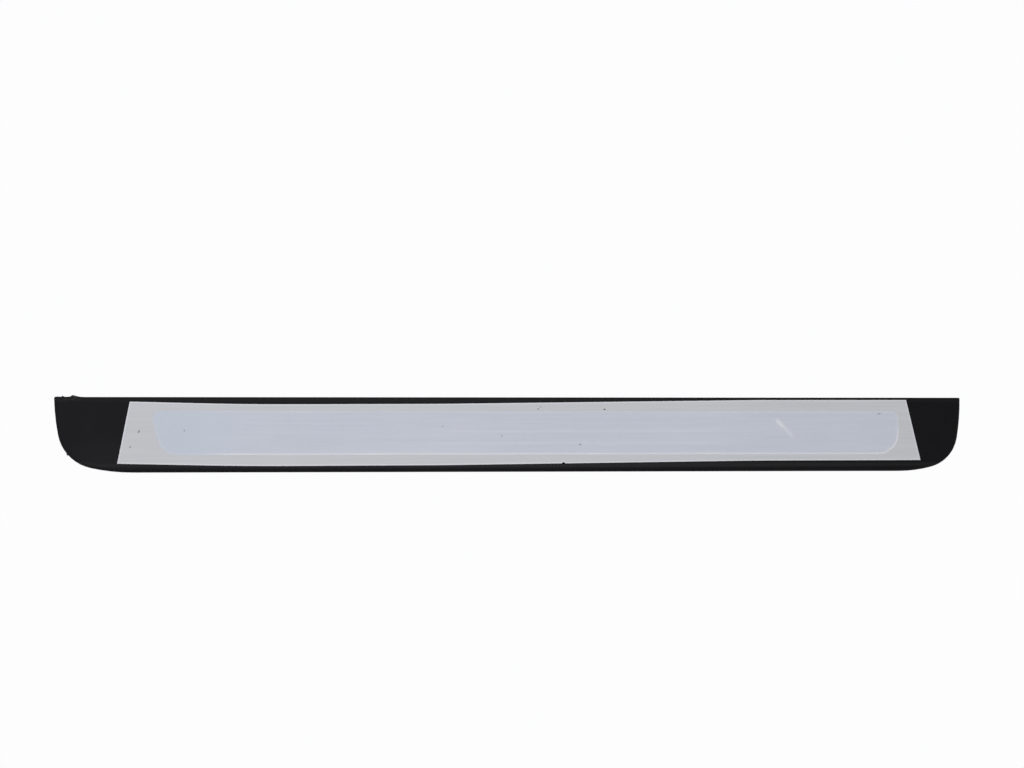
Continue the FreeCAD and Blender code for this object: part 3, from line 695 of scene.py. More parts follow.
@dataclass(frozen=True)
class Finishes:
    """Every finish of the strip."""

    carrier: MouldedPlastic = MouldedPlastic(
        name="black_moulded_plastic",
        # Painted shade on the sloping edges, the less lit top, and the top's cloud tones where the
        # painted light falls.
        slope_shade=shade(0.0021, 0.0019, 0.0032),
        dim_top=shade(0.0042, 0.0041, 0.0053),
        dark=shade(0.0092, 0.0091, 0.0108),
        light=shade(0.0118, 0.0116, 0.0134),
        rubbed_and_sheen=shade(0.16, 0.16, 0.165),
        roughness=(0.54, 0.66),
        specular=0.12,
        cells=2600.0,
        depth=0.000016,
        # Painted light falling from the left: a broad patch that fades out towards the right end.
        lit_patch=Patch((-282.0, 0.0, 8.0), (560.0, 90.0, 40.0)),
        scuffs_and_sheens=(
            Patch((-270.6, 23.9, 9.6), (2.4, 1.2, 3.0), 2.6),
            Patch((-270.5, 22.3, 9.9), (7.5, 2.2, 3.0), 0.34),
            Patch((-277.5, 21.6, 9.9), (5.0, 1.8, 3.0), 0.26),
            Patch((-276.0, -11.5, 8.0), (4.5, 4.5, 5.0), 0.3),
            Patch((-263.0, -17.5, 8.0), (7.0, 2.4, 5.0), 0.25),
            # Painted sheen: a soft lighter patch on the left cap's lower part and two long bands along
            # the rolled edges.
            Patch((-252.0, -13.0, 9.0), (30.0, 15.0, 9.0), 0.022, 1.0),
            Patch((10.0, -18.8, 9.9), (400.0, 2.5, 1.2), 0.11, 0.8),
            Patch((10.0, 21.3, 9.9), (400.0, 2.4, 1.2), 0.05, 0.9),
        ),
    )
    inlay: SatinMetal = SatinMetal(
        name="satin_aluminium",
        dark=shade(0.670, 0.677, 0.708),
        light=shade(0.740, 0.747, 0.778),
        # Painted highlight colour of the inlay's tilted side faces.
        glint_colour=shade(0.94, 0.94, 0.96),
        roughness=(0.36, 0.44),
        lines=5200.0,
    )
    # Painted highlight: brighter, violet-tinted metal for the bead round the inlay's edge.
    rim: SatinMetal = SatinMetal(
        name="painted_glint_metal",
        dark=shade(0.790, 0.785, 0.845),
        light=shade(0.850, 0.845, 0.905),
        glint_colour=shade(0.94, 0.94, 0.96),
        roughness=(0.34, 0.42),
        lines=5200.0,
    )
    covered: SatinMetal = SatinMetal(
        name="aluminium_under_film",
        dark=shade(0.682, 0.707, 0.792),
        light=shade(0.753, 0.777, 0.863),
        # Painted highlight colour where the film's stored glint whitens the metal under it.
        glint_colour=shade(0.97, 0.97, 0.985),
        roughness=(0.38, 0.46),
        lines=5200.0,
        gloss=0.7,
        film_glint="film_glint",
        cool=shade(0.684, 0.742, 0.834),
        cool_patch=Patch((-214.0, 2.0, 10.0), (62.0, 60.0, 20.0), 0.75),
    )
    tape: CloudedSolid = CloudedSolid(
        name="dark_foam_tape",
        dark=shade(0.014, 0.014, 0.015),
        light=shade(0.024, 0.024, 0.026),
        roughness=(0.75, 0.9),
        specular=0.3,
        clouds=300.0,
        cells=4200.0,
        depth=0.00003,
    )
    film: ClearFilm = ClearFilm(
        name="clear_bluish_film",
        tint=shade(0.72, 0.80, 0.96),
        # Painted highlight colour along the film's edges, creases and streaks; the edge share makes it
        # more opaque there.
        white=shade(0.90, 0.92, 0.96),
        body=0.05,
        edge=0.12,
        roughness=0.22,
        attribute="film_glint",
    )
    clip: CloudedSolid = CloudedSolid(
        name="natural_white_acetal",
        dark=shade(0.69, 0.67, 0.60),
        light=shade(0.76, 0.745, 0.68),
        roughness=(0.34, 0.46),
        specular=0.5,
        clouds=240.0,
        cells=1500.0,
        depth=0.000008,
        glow=0.15,
    )
    seal: CloudedSolid = CloudedSolid(
        name="soft_black_rubber",
        dark=shade(0.0095, 0.0095, 0.010),
        light=shade(0.019, 0.019, 0.020),
        roughness=(0.62, 0.8),
        specular=0.35,
        clouds=350.0,
        cells=3600.0,
        depth=0.00002,
        dust=0.16,
    )
    foam: OpenCellFoam = OpenCellFoam(
        name="charcoal_open_cell_foam",
        wall=shade(0.040, 0.040, 0.043),
        pore_shade=shade(0.006, 0.006, 0.007),
        cells=1500.0,
    )
    liner: CloudedSolid = CloudedSolid(
        name="adhesive_liner",
        dark=shade(0.16, 0.13, 0.085),
        light=shade(0.22, 0.18, 0.12),
        roughness=(0.5, 0.65),
        specular=0.4,
        clouds=300.0,
        cells=2500.0,
        depth=0.00001,
    )
    grime: CloudedSolid = CloudedSolid(
        name="dark_grime",
        dark=shade(0.030, 0.028, 0.030),
        light=shade(0.10, 0.095, 0.095),
        roughness=(0.8, 0.95),
        specular=0.2,
        clouds=900.0,
        cells=4000.0,
        depth=0.00004,
    )
    smudge: CloudedSolid = CloudedSolid(
        name="grey_smudge",
        dark=shade(0.34, 0.35, 0.37),
        light=shade(0.46, 0.47, 0.50),
        roughness=(0.6, 0.8),
        specular=0.3,
        clouds=700.0,
        cells=3000.0,
        depth=0.00002,
    )


# ---------------------------------------------------------------- mesh helpers


def placed(name: str, data: bpy.types.ID) -> Piece:
    """Puts a mesh, lamp or camera into the scene.

    Args:
        name: The new object's name.
        data: The mesh, lamp or camera.

    Returns:
        The new object.
    """
    piece = bpy.data.objects.new(name, data)
    bpy.context.scene.collection.objects.link(piece)
    return piece


def build(
    name: str,
    points: Sequence[Vector],
    faces: Sequence[Sequence[int]],
    materials: Sequence[Material],
    slot: Slot,
    sharp: float = 50.0,
) -> Piece:
    """Makes one piece that rides on the strip.

    Args:
        name: The piece's name.
        points: Its vertices, in millimetres.
        faces: Vertex numbers of each face.
        materials: Its materials, the first for all faces unless changed later.
        slot: The record's slot that its finish stands for; not used.
        sharp: Edges that turn by more than this many degrees stay sharp.

    Returns:
        The new object.
    """
    mesh = bpy.data.meshes.new(name)
    mesh.from_pydata([p * MM for p in points], [], faces)
    work = bmesh.new()
    work.from_mesh(mesh)
    bmesh.ops.remove_doubles(work, verts=work.verts, dist=WELD)
    bmesh.ops.recalc_face_normals(work, faces=work.faces)
    work.to_mesh(mesh)
    work.free()
    mesh.shade_smooth()
    mesh.set_sharp_from_angle(angle=math.radians(sharp))
    for material in materials:
        mesh.materials.append(material)
    piece = placed(name, mesh)
    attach(piece, BODY)
    log.info("piece %s: %d faces", name, len(mesh.polygons))
    return piece


def loft(rings: Sequence[Sequence[Vector]], endless: bool = False) -> Skin:
    """Joins closed rings of equal length into a skin with capped ends.

    Args:
        rings: The rings, in order along the piece.
        endless: Whether the last ring joins the first, with no caps.

    Returns:
        The vertices and the faces.
    """
    size = len(rings[0])
    points = [p for ring in rings for p in ring]
    faces: list[Face] = []
    for row in range(len(rings) - (0 if endless else 1)):
        step = size if row + 1 < len(rings) else -row * size
        for k in range(size):
            a, b = row * size + k, row * size + (k + 1) % size
            faces.append((a, b, b + step, a + step))
    if not endless:
        faces.append(tuple(range(size)))
        faces.append(tuple(range(len(points) - size, len(points))))
    return points, faces


def turned(
    centre: Vector,
    profile: Sequence[Point],
    steps: int,
    wobble: Wobble | None = None,
    stretch: float = 1.0,
    turn: float = 0.0,
) -> Skin:
    """Turns a profile round a vertical line, as a disc, stub or crumb.

    Args:
        centre: The line's point at height 0, in millimetres.
        profile: Radius and height of each ring, from the first cap to the last.
        steps: Points round each ring.
        wobble: Factor on the radius for an angle and a height.
        stretch: How much longer the shape is than wide.
        turn: The angle of its long side, in degrees.

    Returns:
        The vertices and the faces.
    """
    rings = []
    lean = math.radians(turn)
    for radius, height in profile:
        ring = []
        for k in range(steps):
            angle = 2 * math.pi * k / steps
            reach = radius * (wobble(angle, height) if wobble else 1.0)
            u, v = reach * math.cos(angle) * stretch, reach * math.sin(angle)
            x, y = u * math.cos(lean) - v * math.sin(lean), u * math.sin(lean) + v * math.cos(lean)
            ring.append(centre + Vector((x, y, height)))
        rings.append(ring)
    return loft(rings)


def ragged(amount: float, grain: float, rise: float, at: Point = (0.0, 0.0)) -> Wobble:
    """Makes the uneven edge of a torn or broken shape.

    Args:
        amount: How uneven it is.
        grain: How fast it changes round the shape.
        rise: How fast it changes with the height.
        at: Where the shape stands, so that no two are alike.

    Returns:
        The factor on a turned shape's radius, for an angle and a height.
    """

    def factor(angle: float, height: float) -> float:
        """Returns the factor at one place of the edge."""
        spot = (math.cos(angle) * grain + at[0], math.sin(angle) * grain + at[1], height * rise)
        return 1.0 + amount * noise.noise(Vector(spot))

    return factor


def gather(parts: Iterable[Skin]) -> Skin:
    """Puts several skins into one.

    Args:
        parts: The skins.

    Returns:
        The vertices and the faces of all of them.
    """
    points: list[Vector] = []
    faces: list[Face] = []
    for more, skins in parts:
        start = len(points)
        points.extend(more)
        faces.extend(tuple(start + k for k in skin) for skin in skins)
    return points, faces


def spread(start: float, end: float, step: float) -> list[float]:
    """Divides a run evenly.

    Args:
        start: Where the run starts.
        end: Where it ends.
        step: About how far its stations are apart.

    Returns:
        The stations from start up to, but without, end.
    """
    count = max(1, round((end - start) / step))
    return [start + (end - start) * k / count for k in range(count)]


def eased(stations: Sequence[Point], x: float) -> float:
    """Reads a curve through given points, with a smooth step between each two.

    Args:
        stations: The points, in order.
        x: Where the curve is read.

    Returns:
        The curve's height there.
    """
    if x <= stations[0][0]:
        return stations[0][1]
    for (x0, y0), (x1, y1) in zip(stations, stations[1:]):
        if x <= x1:
            t = (x - x0) / (x1 - x0)
            return y0 + (y1 - y0) * t * t * (3 - 2 * t)
    return stations[-1][1]


def dress(nodes: Iterable[str], material: Material) -> None:
    """Gives CAD nodes their finish.

    Args:
        nodes: The nodes' names.
        material: The finish that they get.
    """
    for name in nodes:
        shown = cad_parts[name]
        if not shown.material_slots:
            shown.data.materials.append(material)
        for place in shown.material_slots:
            place.material = material
        log.info("node %s: %s", name, material.name)


def corners(node: str) -> tuple[Vector, Vector]:
    """Returns a CAD node's lowest and highest corner in millimetres."""
    low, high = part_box(node)
    return Vector(low) / MM, Vector(high) / MM


def beside(p: Vector, a: Vector, b: Vector) -> tuple[float, float]:
    """Measures a point against a straight line.

    Args:
        p: The point.
        a: The line's start.
        b: The line's end.

    Returns:
        How far along the line the nearest place is, from 0 to 1, and how far away it is.
    """
    along = b - a
    t = max(0.0, min(1.0, (p - a).dot(along) / along.length_squared))
    return t, (p - a - along * t).length


# ---------------------------------------------------------------- carrier


@dataclass
class Carrier:
    """The black moulded strip: its finish, the torn inner corner and the marks of its mould."""

    finish: MouldedPlastic
    node: str = "sill_carrier"
    burr_line: tuple[Point, ...] = (
        (-281.6, 0.0), (-281.0, 0.18), (-280.0, 0.28), (-279.0, 0.22), (-278.0, 0.12), (-277.5, 0.3),
        (-276.9, 0.84), (-276.3, 0.34), (-275.6, 0.12), (-274.0, 0.1), (-272.4, 0.3), (-271.6, 0.92),
        (-271.0, 1.2), (-270.2, 1.05), (-269.0, 0.72), (-267.8, 0.38), (-266.6, 0.14), (-265.6, 0.05),
        (-264.8, 0.1), (-263.8, 0.0),
    )
    burr_step: float = 0.18
    burr_base: float = 0.55
    burr_thickness: float = 0.9
    burr_top: float = 9.86
    burr_limit: float = 1.22
    chip_place: Place = (-273.95, -11.75, 6.6)
    chip_profile: tuple[Point, ...] = ((0.15, -0.7), (0.62, -0.5), (0.78, 0.0), (0.6, 0.45), (0.2, 0.62))
    mark_radius: float = 2.0
    mark_height: float = 0.07
    ceiling: float = 6.9
    first_cell: float = -238.0
    cell_pitch: float = 35.0
    row: float = 9.5
    outer_marks: tuple[int, ...] = (0, 2, 3, 4, 6, 7, 8, 10, 11, 12, 14)
    inner_marks: tuple[int, ...] = (2, 4, 6, 8, 10, 12)
    gates: tuple[Point, ...] = ((-179.0, -4.2), (-39.0, -4.2), (101.0, -4.2))
    gate_profile: tuple[Point, ...] = (
        (1.5, 0.02), (1.3, -0.12), (0.95, -0.3), (0.85, -0.62), (0.6, -0.8), (0.15, -0.72),
    )

    def burr(self, material: Material) -> Piece:
        """Builds the torn plastic along the inner edge beside the left corner.

        Args:
            material: The carrier's own finish.

        Returns:
            The piece.
        """
        _, high = corners(self.node)
        edge, top = high.y, self.burr_top
        rings = []
        for x in spread(self.burr_line[0][0], self.burr_line[-1][0] + 0.01, self.burr_step):
            rough = noise.noise(Vector((x * 2.3, 4.0, 1.0)))
            reach = max(0.02, eased(self.burr_line, x) * (1.0 + 0.22 * rough))
            tip = min(edge + reach, edge + self.burr_limit)
            thin = self.burr_thickness / (1.0 + 3.4 * reach)
            lift = 0.12 * noise.noise(Vector((x * 1.1, 9.0, 2.0)))
            drop = 0.10 + 0.28 * reach
            base = edge - self.burr_base
            rings.append(
                [
                    Vector((x, base, top)),
                    Vector((x, (base + tip) / 2 + 0.1, top - drop * 0.3 + lift * 0.5)),
                    Vector((x + rough * 0.12, tip, top - drop + lift)),
                    Vector((x + rough * 0.12, tip - 0.05, top - drop - thin * 0.5 + lift)),
                    Vector((x, (base + tip) / 2, top - drop - thin)),
                    Vector((x, base, top - self.burr_thickness - 0.4)),
                ]
            )
        return build("torn_edge", *loft(rings), [material], Slot.CARRIER, sharp=35.0)

    def chip(self, material: Material) -> Piece:
        """Builds the small burr that stands out of the left end's rounded corner.

        Args:
            material: The carrier's own finish.

        Returns:
            The piece.
        """
        edge = ragged(0.3, 2.0, 1.0)
        crumb = turned(Vector(self.chip_place), self.chip_profile, 12, edge, stretch=1.3, turn=-35.0)
        return build("corner_chip", *crumb, [material], Slot.CARRIER)

    def mould_marks(self, material: Material) -> Piece:
        """Builds the round marks that the mould's ejector pins leave on the ceiling.

        Args:
            material: The carrier's own finish.

        Returns:
            The piece.
        """
        rows = ((-self.row, self.outer_marks), (self.row, self.inner_marks))
        places = [(self.first_cell + self.cell_pitch * k, y) for y, cells in rows for k in cells]
        r, h = self.mark_radius, self.mark_height
        rim = ((r, 0.02), (r, -h * 0.6), (r - 0.06, -h), (r - 0.28, -h), (r - 0.34, -h * 0.55))
        profile = (*rim, (0.2, -h * 0.5))
        discs = [turned(Vector((x, y, self.ceiling)), profile, 40) for x, y in places]
        return build("ejector_marks", *gather(discs), [material], Slot.CARRIER, sharp=30.0)

    def gate_marks(self, material: Material) -> Piece:
        """Builds the broken stubs where the plastic was fed in, beside the centre rib.

        Args:
            material: The carrier's own finish.

        Returns:
            The piece.
        """
        places, edge = [Vector((x, y, self.ceiling)) for x, y in self.gates], ragged(0.16, 1.7, 3.0)
        stubs = [turned(place, self.gate_profile, 22, edge) for place in places]
        return build("gate_stubs", *gather(stubs), [material], Slot.CARRIER)

    def make(self) -> None:
        """Dresses the carrier and builds its small forms."""
        material = self.finish.material()
        dress([self.node], material)
        self.burr(material)
        self.chip(material)
        self.mould_marks(material)
        self.gate_marks(material)


# ---------------------------------------------------------------- inlay and film


@dataclass
class Inlay:
    """The satin metal inlay, a bead of painted highlight round its edge, and the tape that bonds it."""

    metal: SatinMetal
    rim: SatinMetal
    tape: CloudedSolid
    node: str = "trim_plate"
    rim_section: tuple[Point, ...] = (
        (-0.04, -0.05), (0.0, 0.012), (0.12, 0.022), (0.62, 0.018), (0.8, -0.012),
    )

    def rim_line(self) -> list[Vector]:
        """Traces the edge of the inlay's flat top.

        Returns:
            Its points in millimetres, in order round it.
        """
        work = bmesh.new()
        work.from_mesh(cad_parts[self.node].data)
        bmesh.ops.remove_doubles(work, verts=work.verts, dist=NEAR)
        top = max(v.co.z for v in work.verts)
        flat = {f for f in work.faces if all(abs(v.co.z - top) < NEAR for v in f.verts)}
        ahead: dict[int, tuple[int, Vector]] = {}
        for face in flat:
            for loop in face.loops:
                if not any(other in flat for other in loop.edge.link_faces if other is not face):
                    ahead[loop.vert.index] = (loop.link_loop_next.vert.index, loop.vert.co / MM)
        line: list[Vector] = []
        place = next(iter(ahead))
        while place in ahead:
            place, point = ahead.pop(place)
            line.append(point)
        work.free()
        return line

    def glint_bead(self) -> Piece:
        """Builds a bead of painted highlight: a fine bright line round the inlay's top edge, standing in
        for light glinting on it.

        Returns:
            The piece.
        """
        line = self.rim_line()
        rings = []
        for before, here, after in zip(line[-1:] + line, line, line[1:] + line[:1]):
            ways = [(b - a).to_2d().normalized() for a, b in ((before, here), (here, after))]
            inward = [Vector((-way.y, way.x)) for way in ways]
            mitre = (inward[0] + inward[1]) / (1.0 + inward[0].dot(inward[1]))
            steps = [Vector((mitre.x * off, mitre.y * off, up)) for off, up in self.rim_section]
            rings.append([here + step for step in steps])
        return build("glint_bead", *loft(rings, endless=True), [self.rim.material()], Slot.INLAY, sharp=60.0)

    def make(self) -> None:
        """Dresses the inlay and its tape and builds the bead of painted highlight."""
        dress([self.node], self.metal.material())
        dress(["bonding_tape"], self.tape.material())
        self.glint_bead()


@dataclass(frozen=True)
class Mark:
    """A pale straight mark of painted highlight in the film, from one point to another, in millimetres; a
    mark with a rise also lifts the film as a crease.
    """

    start: Point
    end: Point
    width: float
    strength: float
    rise: float = 0.0

    def weight(self, x: float, y: float) -> float:
        """Reads the mark at a point.

        Args:
            x: The point's station along the strip.
            y: Its station across the strip.

        Returns:
            How strongly the mark shows there, from 0 to 1.
        """
        t, away = beside(Vector((x, y)), Vector(self.start), Vector(self.end))
        away /= self.width
        fade = min(1.0, 5.0 * min(t, 1.0 - t) + 0.35)
        return math.exp(-away * away) * fade


@dataclass
class FilmSheet:
    """The clear protective film: a thin closed sheet with a raised edge, waves and a crease.

    Its upper face is the clear film. Its lower face shows the metal as it looks through it.
    """

    finish: ClearFilm
    covered: SatinMetal
    node: str = "protective_film"
    gap: float = 0.006
    thickness: float = 0.09
    edge_share: float = 0.55
    hollow_share: float = 0.8
    bead: float = 0.05
    bead_at: float = 0.35
    bead_width: float = 0.4
    wave: float = 0.022
    end_zone: float = 24.0
    end_step: float = 0.45
    long_step: float = 3.0
    crease_zone: Point = (160.0, 180.0)
    crease_step: float = 0.5
    rows: int = 46
    # Painted highlight along the film's edges: its strength at the top and low edges, where it peaks, how
    # wide it is, and how it fades at the left end.
    top_line: float = 0.25
    low_line: float = 0.95
    line_at: float = 0.45
    line_width: float = 0.62
    faint_end: float = -196.0
    faint_length: float = 26.0
    faint_share: float = 0.22
    # Each mark's paleness is painted highlight along a crease, streak or lighter band.
    marks: tuple[Mark, ...] = (
        Mark((164.3, 8.9), (175.0, -1.9), 1.25, 0.55, 0.12),
        Mark((164.2, 9.0), (168.6, 4.5), 1.0, 0.55, 0.04),
        Mark((166.5, 4.4), (171.0, 8.2), 0.8, 0.15, 0.03),
        Mark((-59.0, 2.05), (141.0, 2.05), 0.6, 0.32),
        Mark((-59.0, -5.3), (141.0, -5.3), 0.6, 0.30),
        Mark((-120.0, -9.0), (-8.0, -9.0), 2.6, 0.14),
        Mark((-70.0, 0.5), (-20.0, 0.5), 2.4, 0.10),
        Mark((-199.0, -3.0), (-150.0, -2.0), 2.2, 0.06),
        Mark((186.0, 4.0), (226.0, 2.5), 1.6, 0.06),
    )
    outline: list[Point] = field(default_factory=list)

    def trace(self) -> None:
        """Reads the film's plan outline from the corners of its CAD node."""
        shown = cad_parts[self.node]
        points = [(v.co.x / MM, v.co.y / MM) for v in shown.data.vertices]
        points = sorted(set((round(x, 3), round(y, 3)) for x, y in points))

        def half(run: Iterable[Point]) -> list[Point]:
            """Strings the points of one side of the hull.

            Args:
                run: All points, in order along the strip.

            Returns:
                The points that lie on that side.
            """
            side: list[Point] = []
            for p in run:
                while len(side) > 1 and self.turn(side[-2], side[-1], p) <= 0:
                    side.pop()
                side.append(p)
            return side

        self.outline = half(points)[:-1] + half(reversed(points))[:-1]

    @staticmethod
    def turn(a: Point, b: Point, c: Point) -> float:
        """Returns a positive value where the path a, b, c turns left."""
        return (b[0] - a[0]) * (c[1] - a[1]) - (b[1] - a[1]) * (c[0] - a[0])

    def limits(self, x: float) -> tuple[float, float]:
        """Reads the film's outline at a station.

        Args:
            x: The station along the strip.

        Returns:
            The film's lowest and highest y there.
        """
        found = []
        for (x0, y0), (x1, y1) in zip(self.outline, self.outline[1:] + self.outline[:1]):
            if min(x0, x1) <= x <= max(x0, x1) and abs(x1 - x0) > 1e-9:
                found.append(y0 + (y1 - y0) * (x - x0) / (x1 - x0))
        return min(found), max(found)

    def edge_distance(self, x: float, y: float) -> float:
        """Measures how far a point is inside the film's outline.

        Args:
            x: The point's station along the strip.
            y: Its station across the strip.

        Returns:
            The distance to the nearest edge in millimetres.
        """
        p, ring = Vector((x, y)), [Vector(point) for point in self.outline]
        return min(beside(p, a, b)[1] for a, b in zip(ring, ring[1:] + ring[:1]))

    def rise(self, x: float, y: float, inside: float) -> float:
        """Returns the height of the film's top over its lowest level.

        Args:
            x: The station along the strip.
            y: The station across it.
            inside: The distance to the film's edge.

        Returns:
            The height in millimetres.
        """
        wave = self.wave * (noise.noise(Vector((x * 0.035, y * 0.12, 3.0))) + 0.6)
        bead = self.bead * math.exp(-((inside - self.bead_at) / self.bead_width) ** 2)
        return self.thickness + max(0.0, wave) + bead + self.fold(x, y)

    def fold(self, x: float, y: float) -> float:
        """Returns how far the film's creases lift it at a point."""
        return sum(mark.rise * mark.weight(x, y) for mark in self.marks)

    def film_glint(self, x: float, y: float, inside: float, low: float, high: float) -> float:
        """Works out how strongly the painted highlight whitens the film at a point: along its edges,
        strongest at the low edge and faint at the left end, and along its marks.

        Args:
            x: The station along the strip.
            y: The station across it.
            inside: The distance to the film's edge.
            low: The film's lowest y at this station.
            high: Its highest y there.

        Returns:
            The whiteness, from 0 to 1.
        """
        share = (y - low) / max(high - low, 1e-6)
        strength = self.low_line + (self.top_line - self.low_line) * min(1.0, max(0.0, share * 1.25))
        shown = self.faint_share + (x - self.faint_end) / self.faint_length
        strength *= min(1.0, max(self.faint_share, shown))
        edge = strength * math.exp(-((inside - self.line_at) / self.line_width) ** 2)
        marks = sum(mark.strength * mark.weight(x, y) for mark in self.marks)
        uneven = 0.85 + 0.3 * noise.noise(Vector((x * 0.05, y * 0.4, 7.0)))
        return min(1.0, (edge + marks) * uneven)

    def stations(self) -> list[float]:
        """Lays out the stations along the film: close at its ends and its crease.

        Returns:
            The stations, from the left end to the right.
        """
        low, high = min(p[0] for p in self.outline), max(p[0] for p in self.outline)
        near = [low + 0.02, low + 0.1, low + 0.22]
        near += spread(low + 0.4, low + self.end_zone, self.end_step)
        middle = spread(low + self.end_zone, self.crease_zone[0], self.long_step)
        crease = spread(*self.crease_zone, self.crease_step)
        rest = spread(self.crease_zone[1], high - self.end_zone, self.long_step)
        far = spread(high - self.end_zone, high - 0.4, self.end_step)
        return near + middle + crease + rest + far + [high - 0.22, high - 0.1, high - 0.02]

    def top_at(self, x: float, y: float, plate: float) -> float:
        """Returns the height of the film's top at a point on it."""
        return plate + self.gap + self.rise(x, y, self.edge_distance(x, y))

    def make(self, plate: float) -> Piece:
        """Builds the film over the plate.

        Args:
            plate: The height of the plate's top in millimetres.

        Returns:
            The piece, which stands for the CAD film.
        """
        self.trace()
        rings, white = [], []
        for x in self.stations():
            low, high = self.limits(x)
            upper, lower = [], []
            for k in range(self.rows + 1):
                y = low + (high - low) * k / self.rows
                inside = self.edge_distance(x, y)
                height = self.rise(x, y, inside) * min(1.0, self.edge_share + inside)
                upper.append(Vector((x, y, plate + self.gap + height)))
                lower.append(Vector((x, y, plate + self.gap + self.fold(x, y) * self.hollow_share)))
                white.append(self.film_glint(x, y, inside, low, high))
            white.extend(reversed(white[-self.rows - 1 :]))
            rings.append(upper + lower[::-1])
        points, faces = loft(rings)
        finishes = [self.finish.material(), self.covered.material()]
        piece = build("film_sheet", points, faces, finishes, Slot.FILM, sharp=60.0)
        for face in piece.data.polygons:
            face.material_index = 1 if face.normal.z < -0.5 else 0
        self.store_glint(piece, points, white)
        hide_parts(self.node)
        return piece

    def store_glint(self, piece: Piece, points: Sequence[Vector], white: Sequence[float]) -> None:
        """Stores how strongly the painted highlight whitens the film at each of its vertices.

        Args:
            piece: The film.
            points: The vertices that it was built from, in millimetres.
            white: The whiteness of each of them.
        """
        known = {(round(p.x, 3), round(p.y, 3)): w for p, w in zip(points, white)}
        layer = piece.data.attributes.new(self.finish.attribute, "FLOAT", "POINT")
        for vertex, value in zip(piece.data.vertices, layer.data):
            value.value = known.get((round(vertex.co.x / MM, 3), round(vertex.co.y / MM, 3)), 0.0)


class Tone(Enum):
    """How dark a crumb of dirt is."""

    DARK = "dark"
    FAINT = "faint"


@dataclass(frozen=True)
class Crumb:
    """One crumb of dirt on the inlay: its place, radius, length to width, angle and tone."""

    x: float
    y: float
    radius: float
    stretch: float = 1.0
    turn: float = 0.0
    tone: Tone = Tone.DARK


@dataclass
class Dirt:
    """The few crumbs and smudges that lie on the inlay and its film."""

    grime: CloudedSolid
    smudge: CloudedSolid
    height: float = 0.14
    film_end: float = 222.0
    crumbs: tuple[Crumb, ...] = (
        Crumb(-230.7, 2.0, 0.55, 1.7, 70.0, Tone.FAINT),
        Crumb(-231.2, 1.5, 0.34, 1.2, 20.0, Tone.FAINT),
        Crumb(-235.9, -7.5, 0.5, 1.2, 20.0, Tone.FAINT),
        Crumb(-203.4, 2.5, 0.34, 1.2, 10.0, Tone.FAINT),
        Crumb(-45.3, 5.1, 0.3, 1.3, 0.0, Tone.FAINT),
        Crumb(-8.7, -0.7, 0.4, 1.3, 80.0, Tone.FAINT),
        Crumb(14.0, 15.9, 0.42, 1.5, 30.0, Tone.FAINT),
        Crumb(15.5, 17.0, 0.3, 1.6, 45.0, Tone.FAINT),
        Crumb(55.5, 15.6, 0.42, 1.3, 0.0),
        Crumb(40.05, -6.2, 0.42, 1.9, 12.0, Tone.FAINT),
        Crumb(229.9, 13.0, 0.34, 3.4, 8.0, Tone.FAINT),
    )

    def crumb(self, item: Crumb, level: float) -> Skin:
        """Builds one crumb.

        Args:
            item: The crumb.
            level: The height that it lies at, in millimetres.

        Returns:
            Its vertices and faces.
        """
        r, h = item.radius, self.height
        profile = ((r * 0.5, -0.02), (r, -0.01), (r * 0.97, h * 0.35), (r * 0.7, h * 0.8), (r * 0.2, h))
        edge = ragged(0.38, 1.4, 2.0, (item.x, item.y))
        return turned(Vector((item.x, item.y, level)), profile, 16, edge, item.stretch, item.turn)

    def make(self, film: FilmSheet, plate: float) -> None:
        """Builds the crumbs, on the film where they lie on it.

        Args:
            film: The film that some of them lie on.
            plate: The height of the plate's top in millimetres.
        """
        names = {Tone.DARK: ("dirt_specks", self.grime), Tone.FAINT: ("faint_smudges", self.smudge)}
        for tone, (name, finish) in names.items():
            skins = []
            for item in self.crumbs:
                if item.tone is tone:
                    low, high = film.limits(item.x) if abs(item.x) < self.film_end else (0.0, 0.0)
                    on_film = low < item.y < high or item.x > self.film_end
                    level = film.top_at(item.x, item.y, plate) if on_film else plate
                    skins.append(self.crumb(item, level))
            build(name, *gather(skins), [finish.material()], Slot.FILM)


# ---------------------------------------------------------------- underside pieces


@dataclass
class Fasteners:
    """The snap clips and the soft washers under their flanges."""

    clip: CloudedSolid
    seal: CloudedSolid
    count: int = 7

    def foot(self) -> float:
        """Returns the height of the lowest clip's tip in millimetres."""
        return min(corners(f"clip_{n}")[0].z for n in range(1, self.count + 1))

    def make(self) -> None:
        """Dresses every clip and every washer."""
        numbers = range(1, self.count + 1)
        dress([f"clip_{n}" for n in numbers], self.clip.material())
        dress([f"clip_seal_{n}" for n in numbers], self.seal.material())


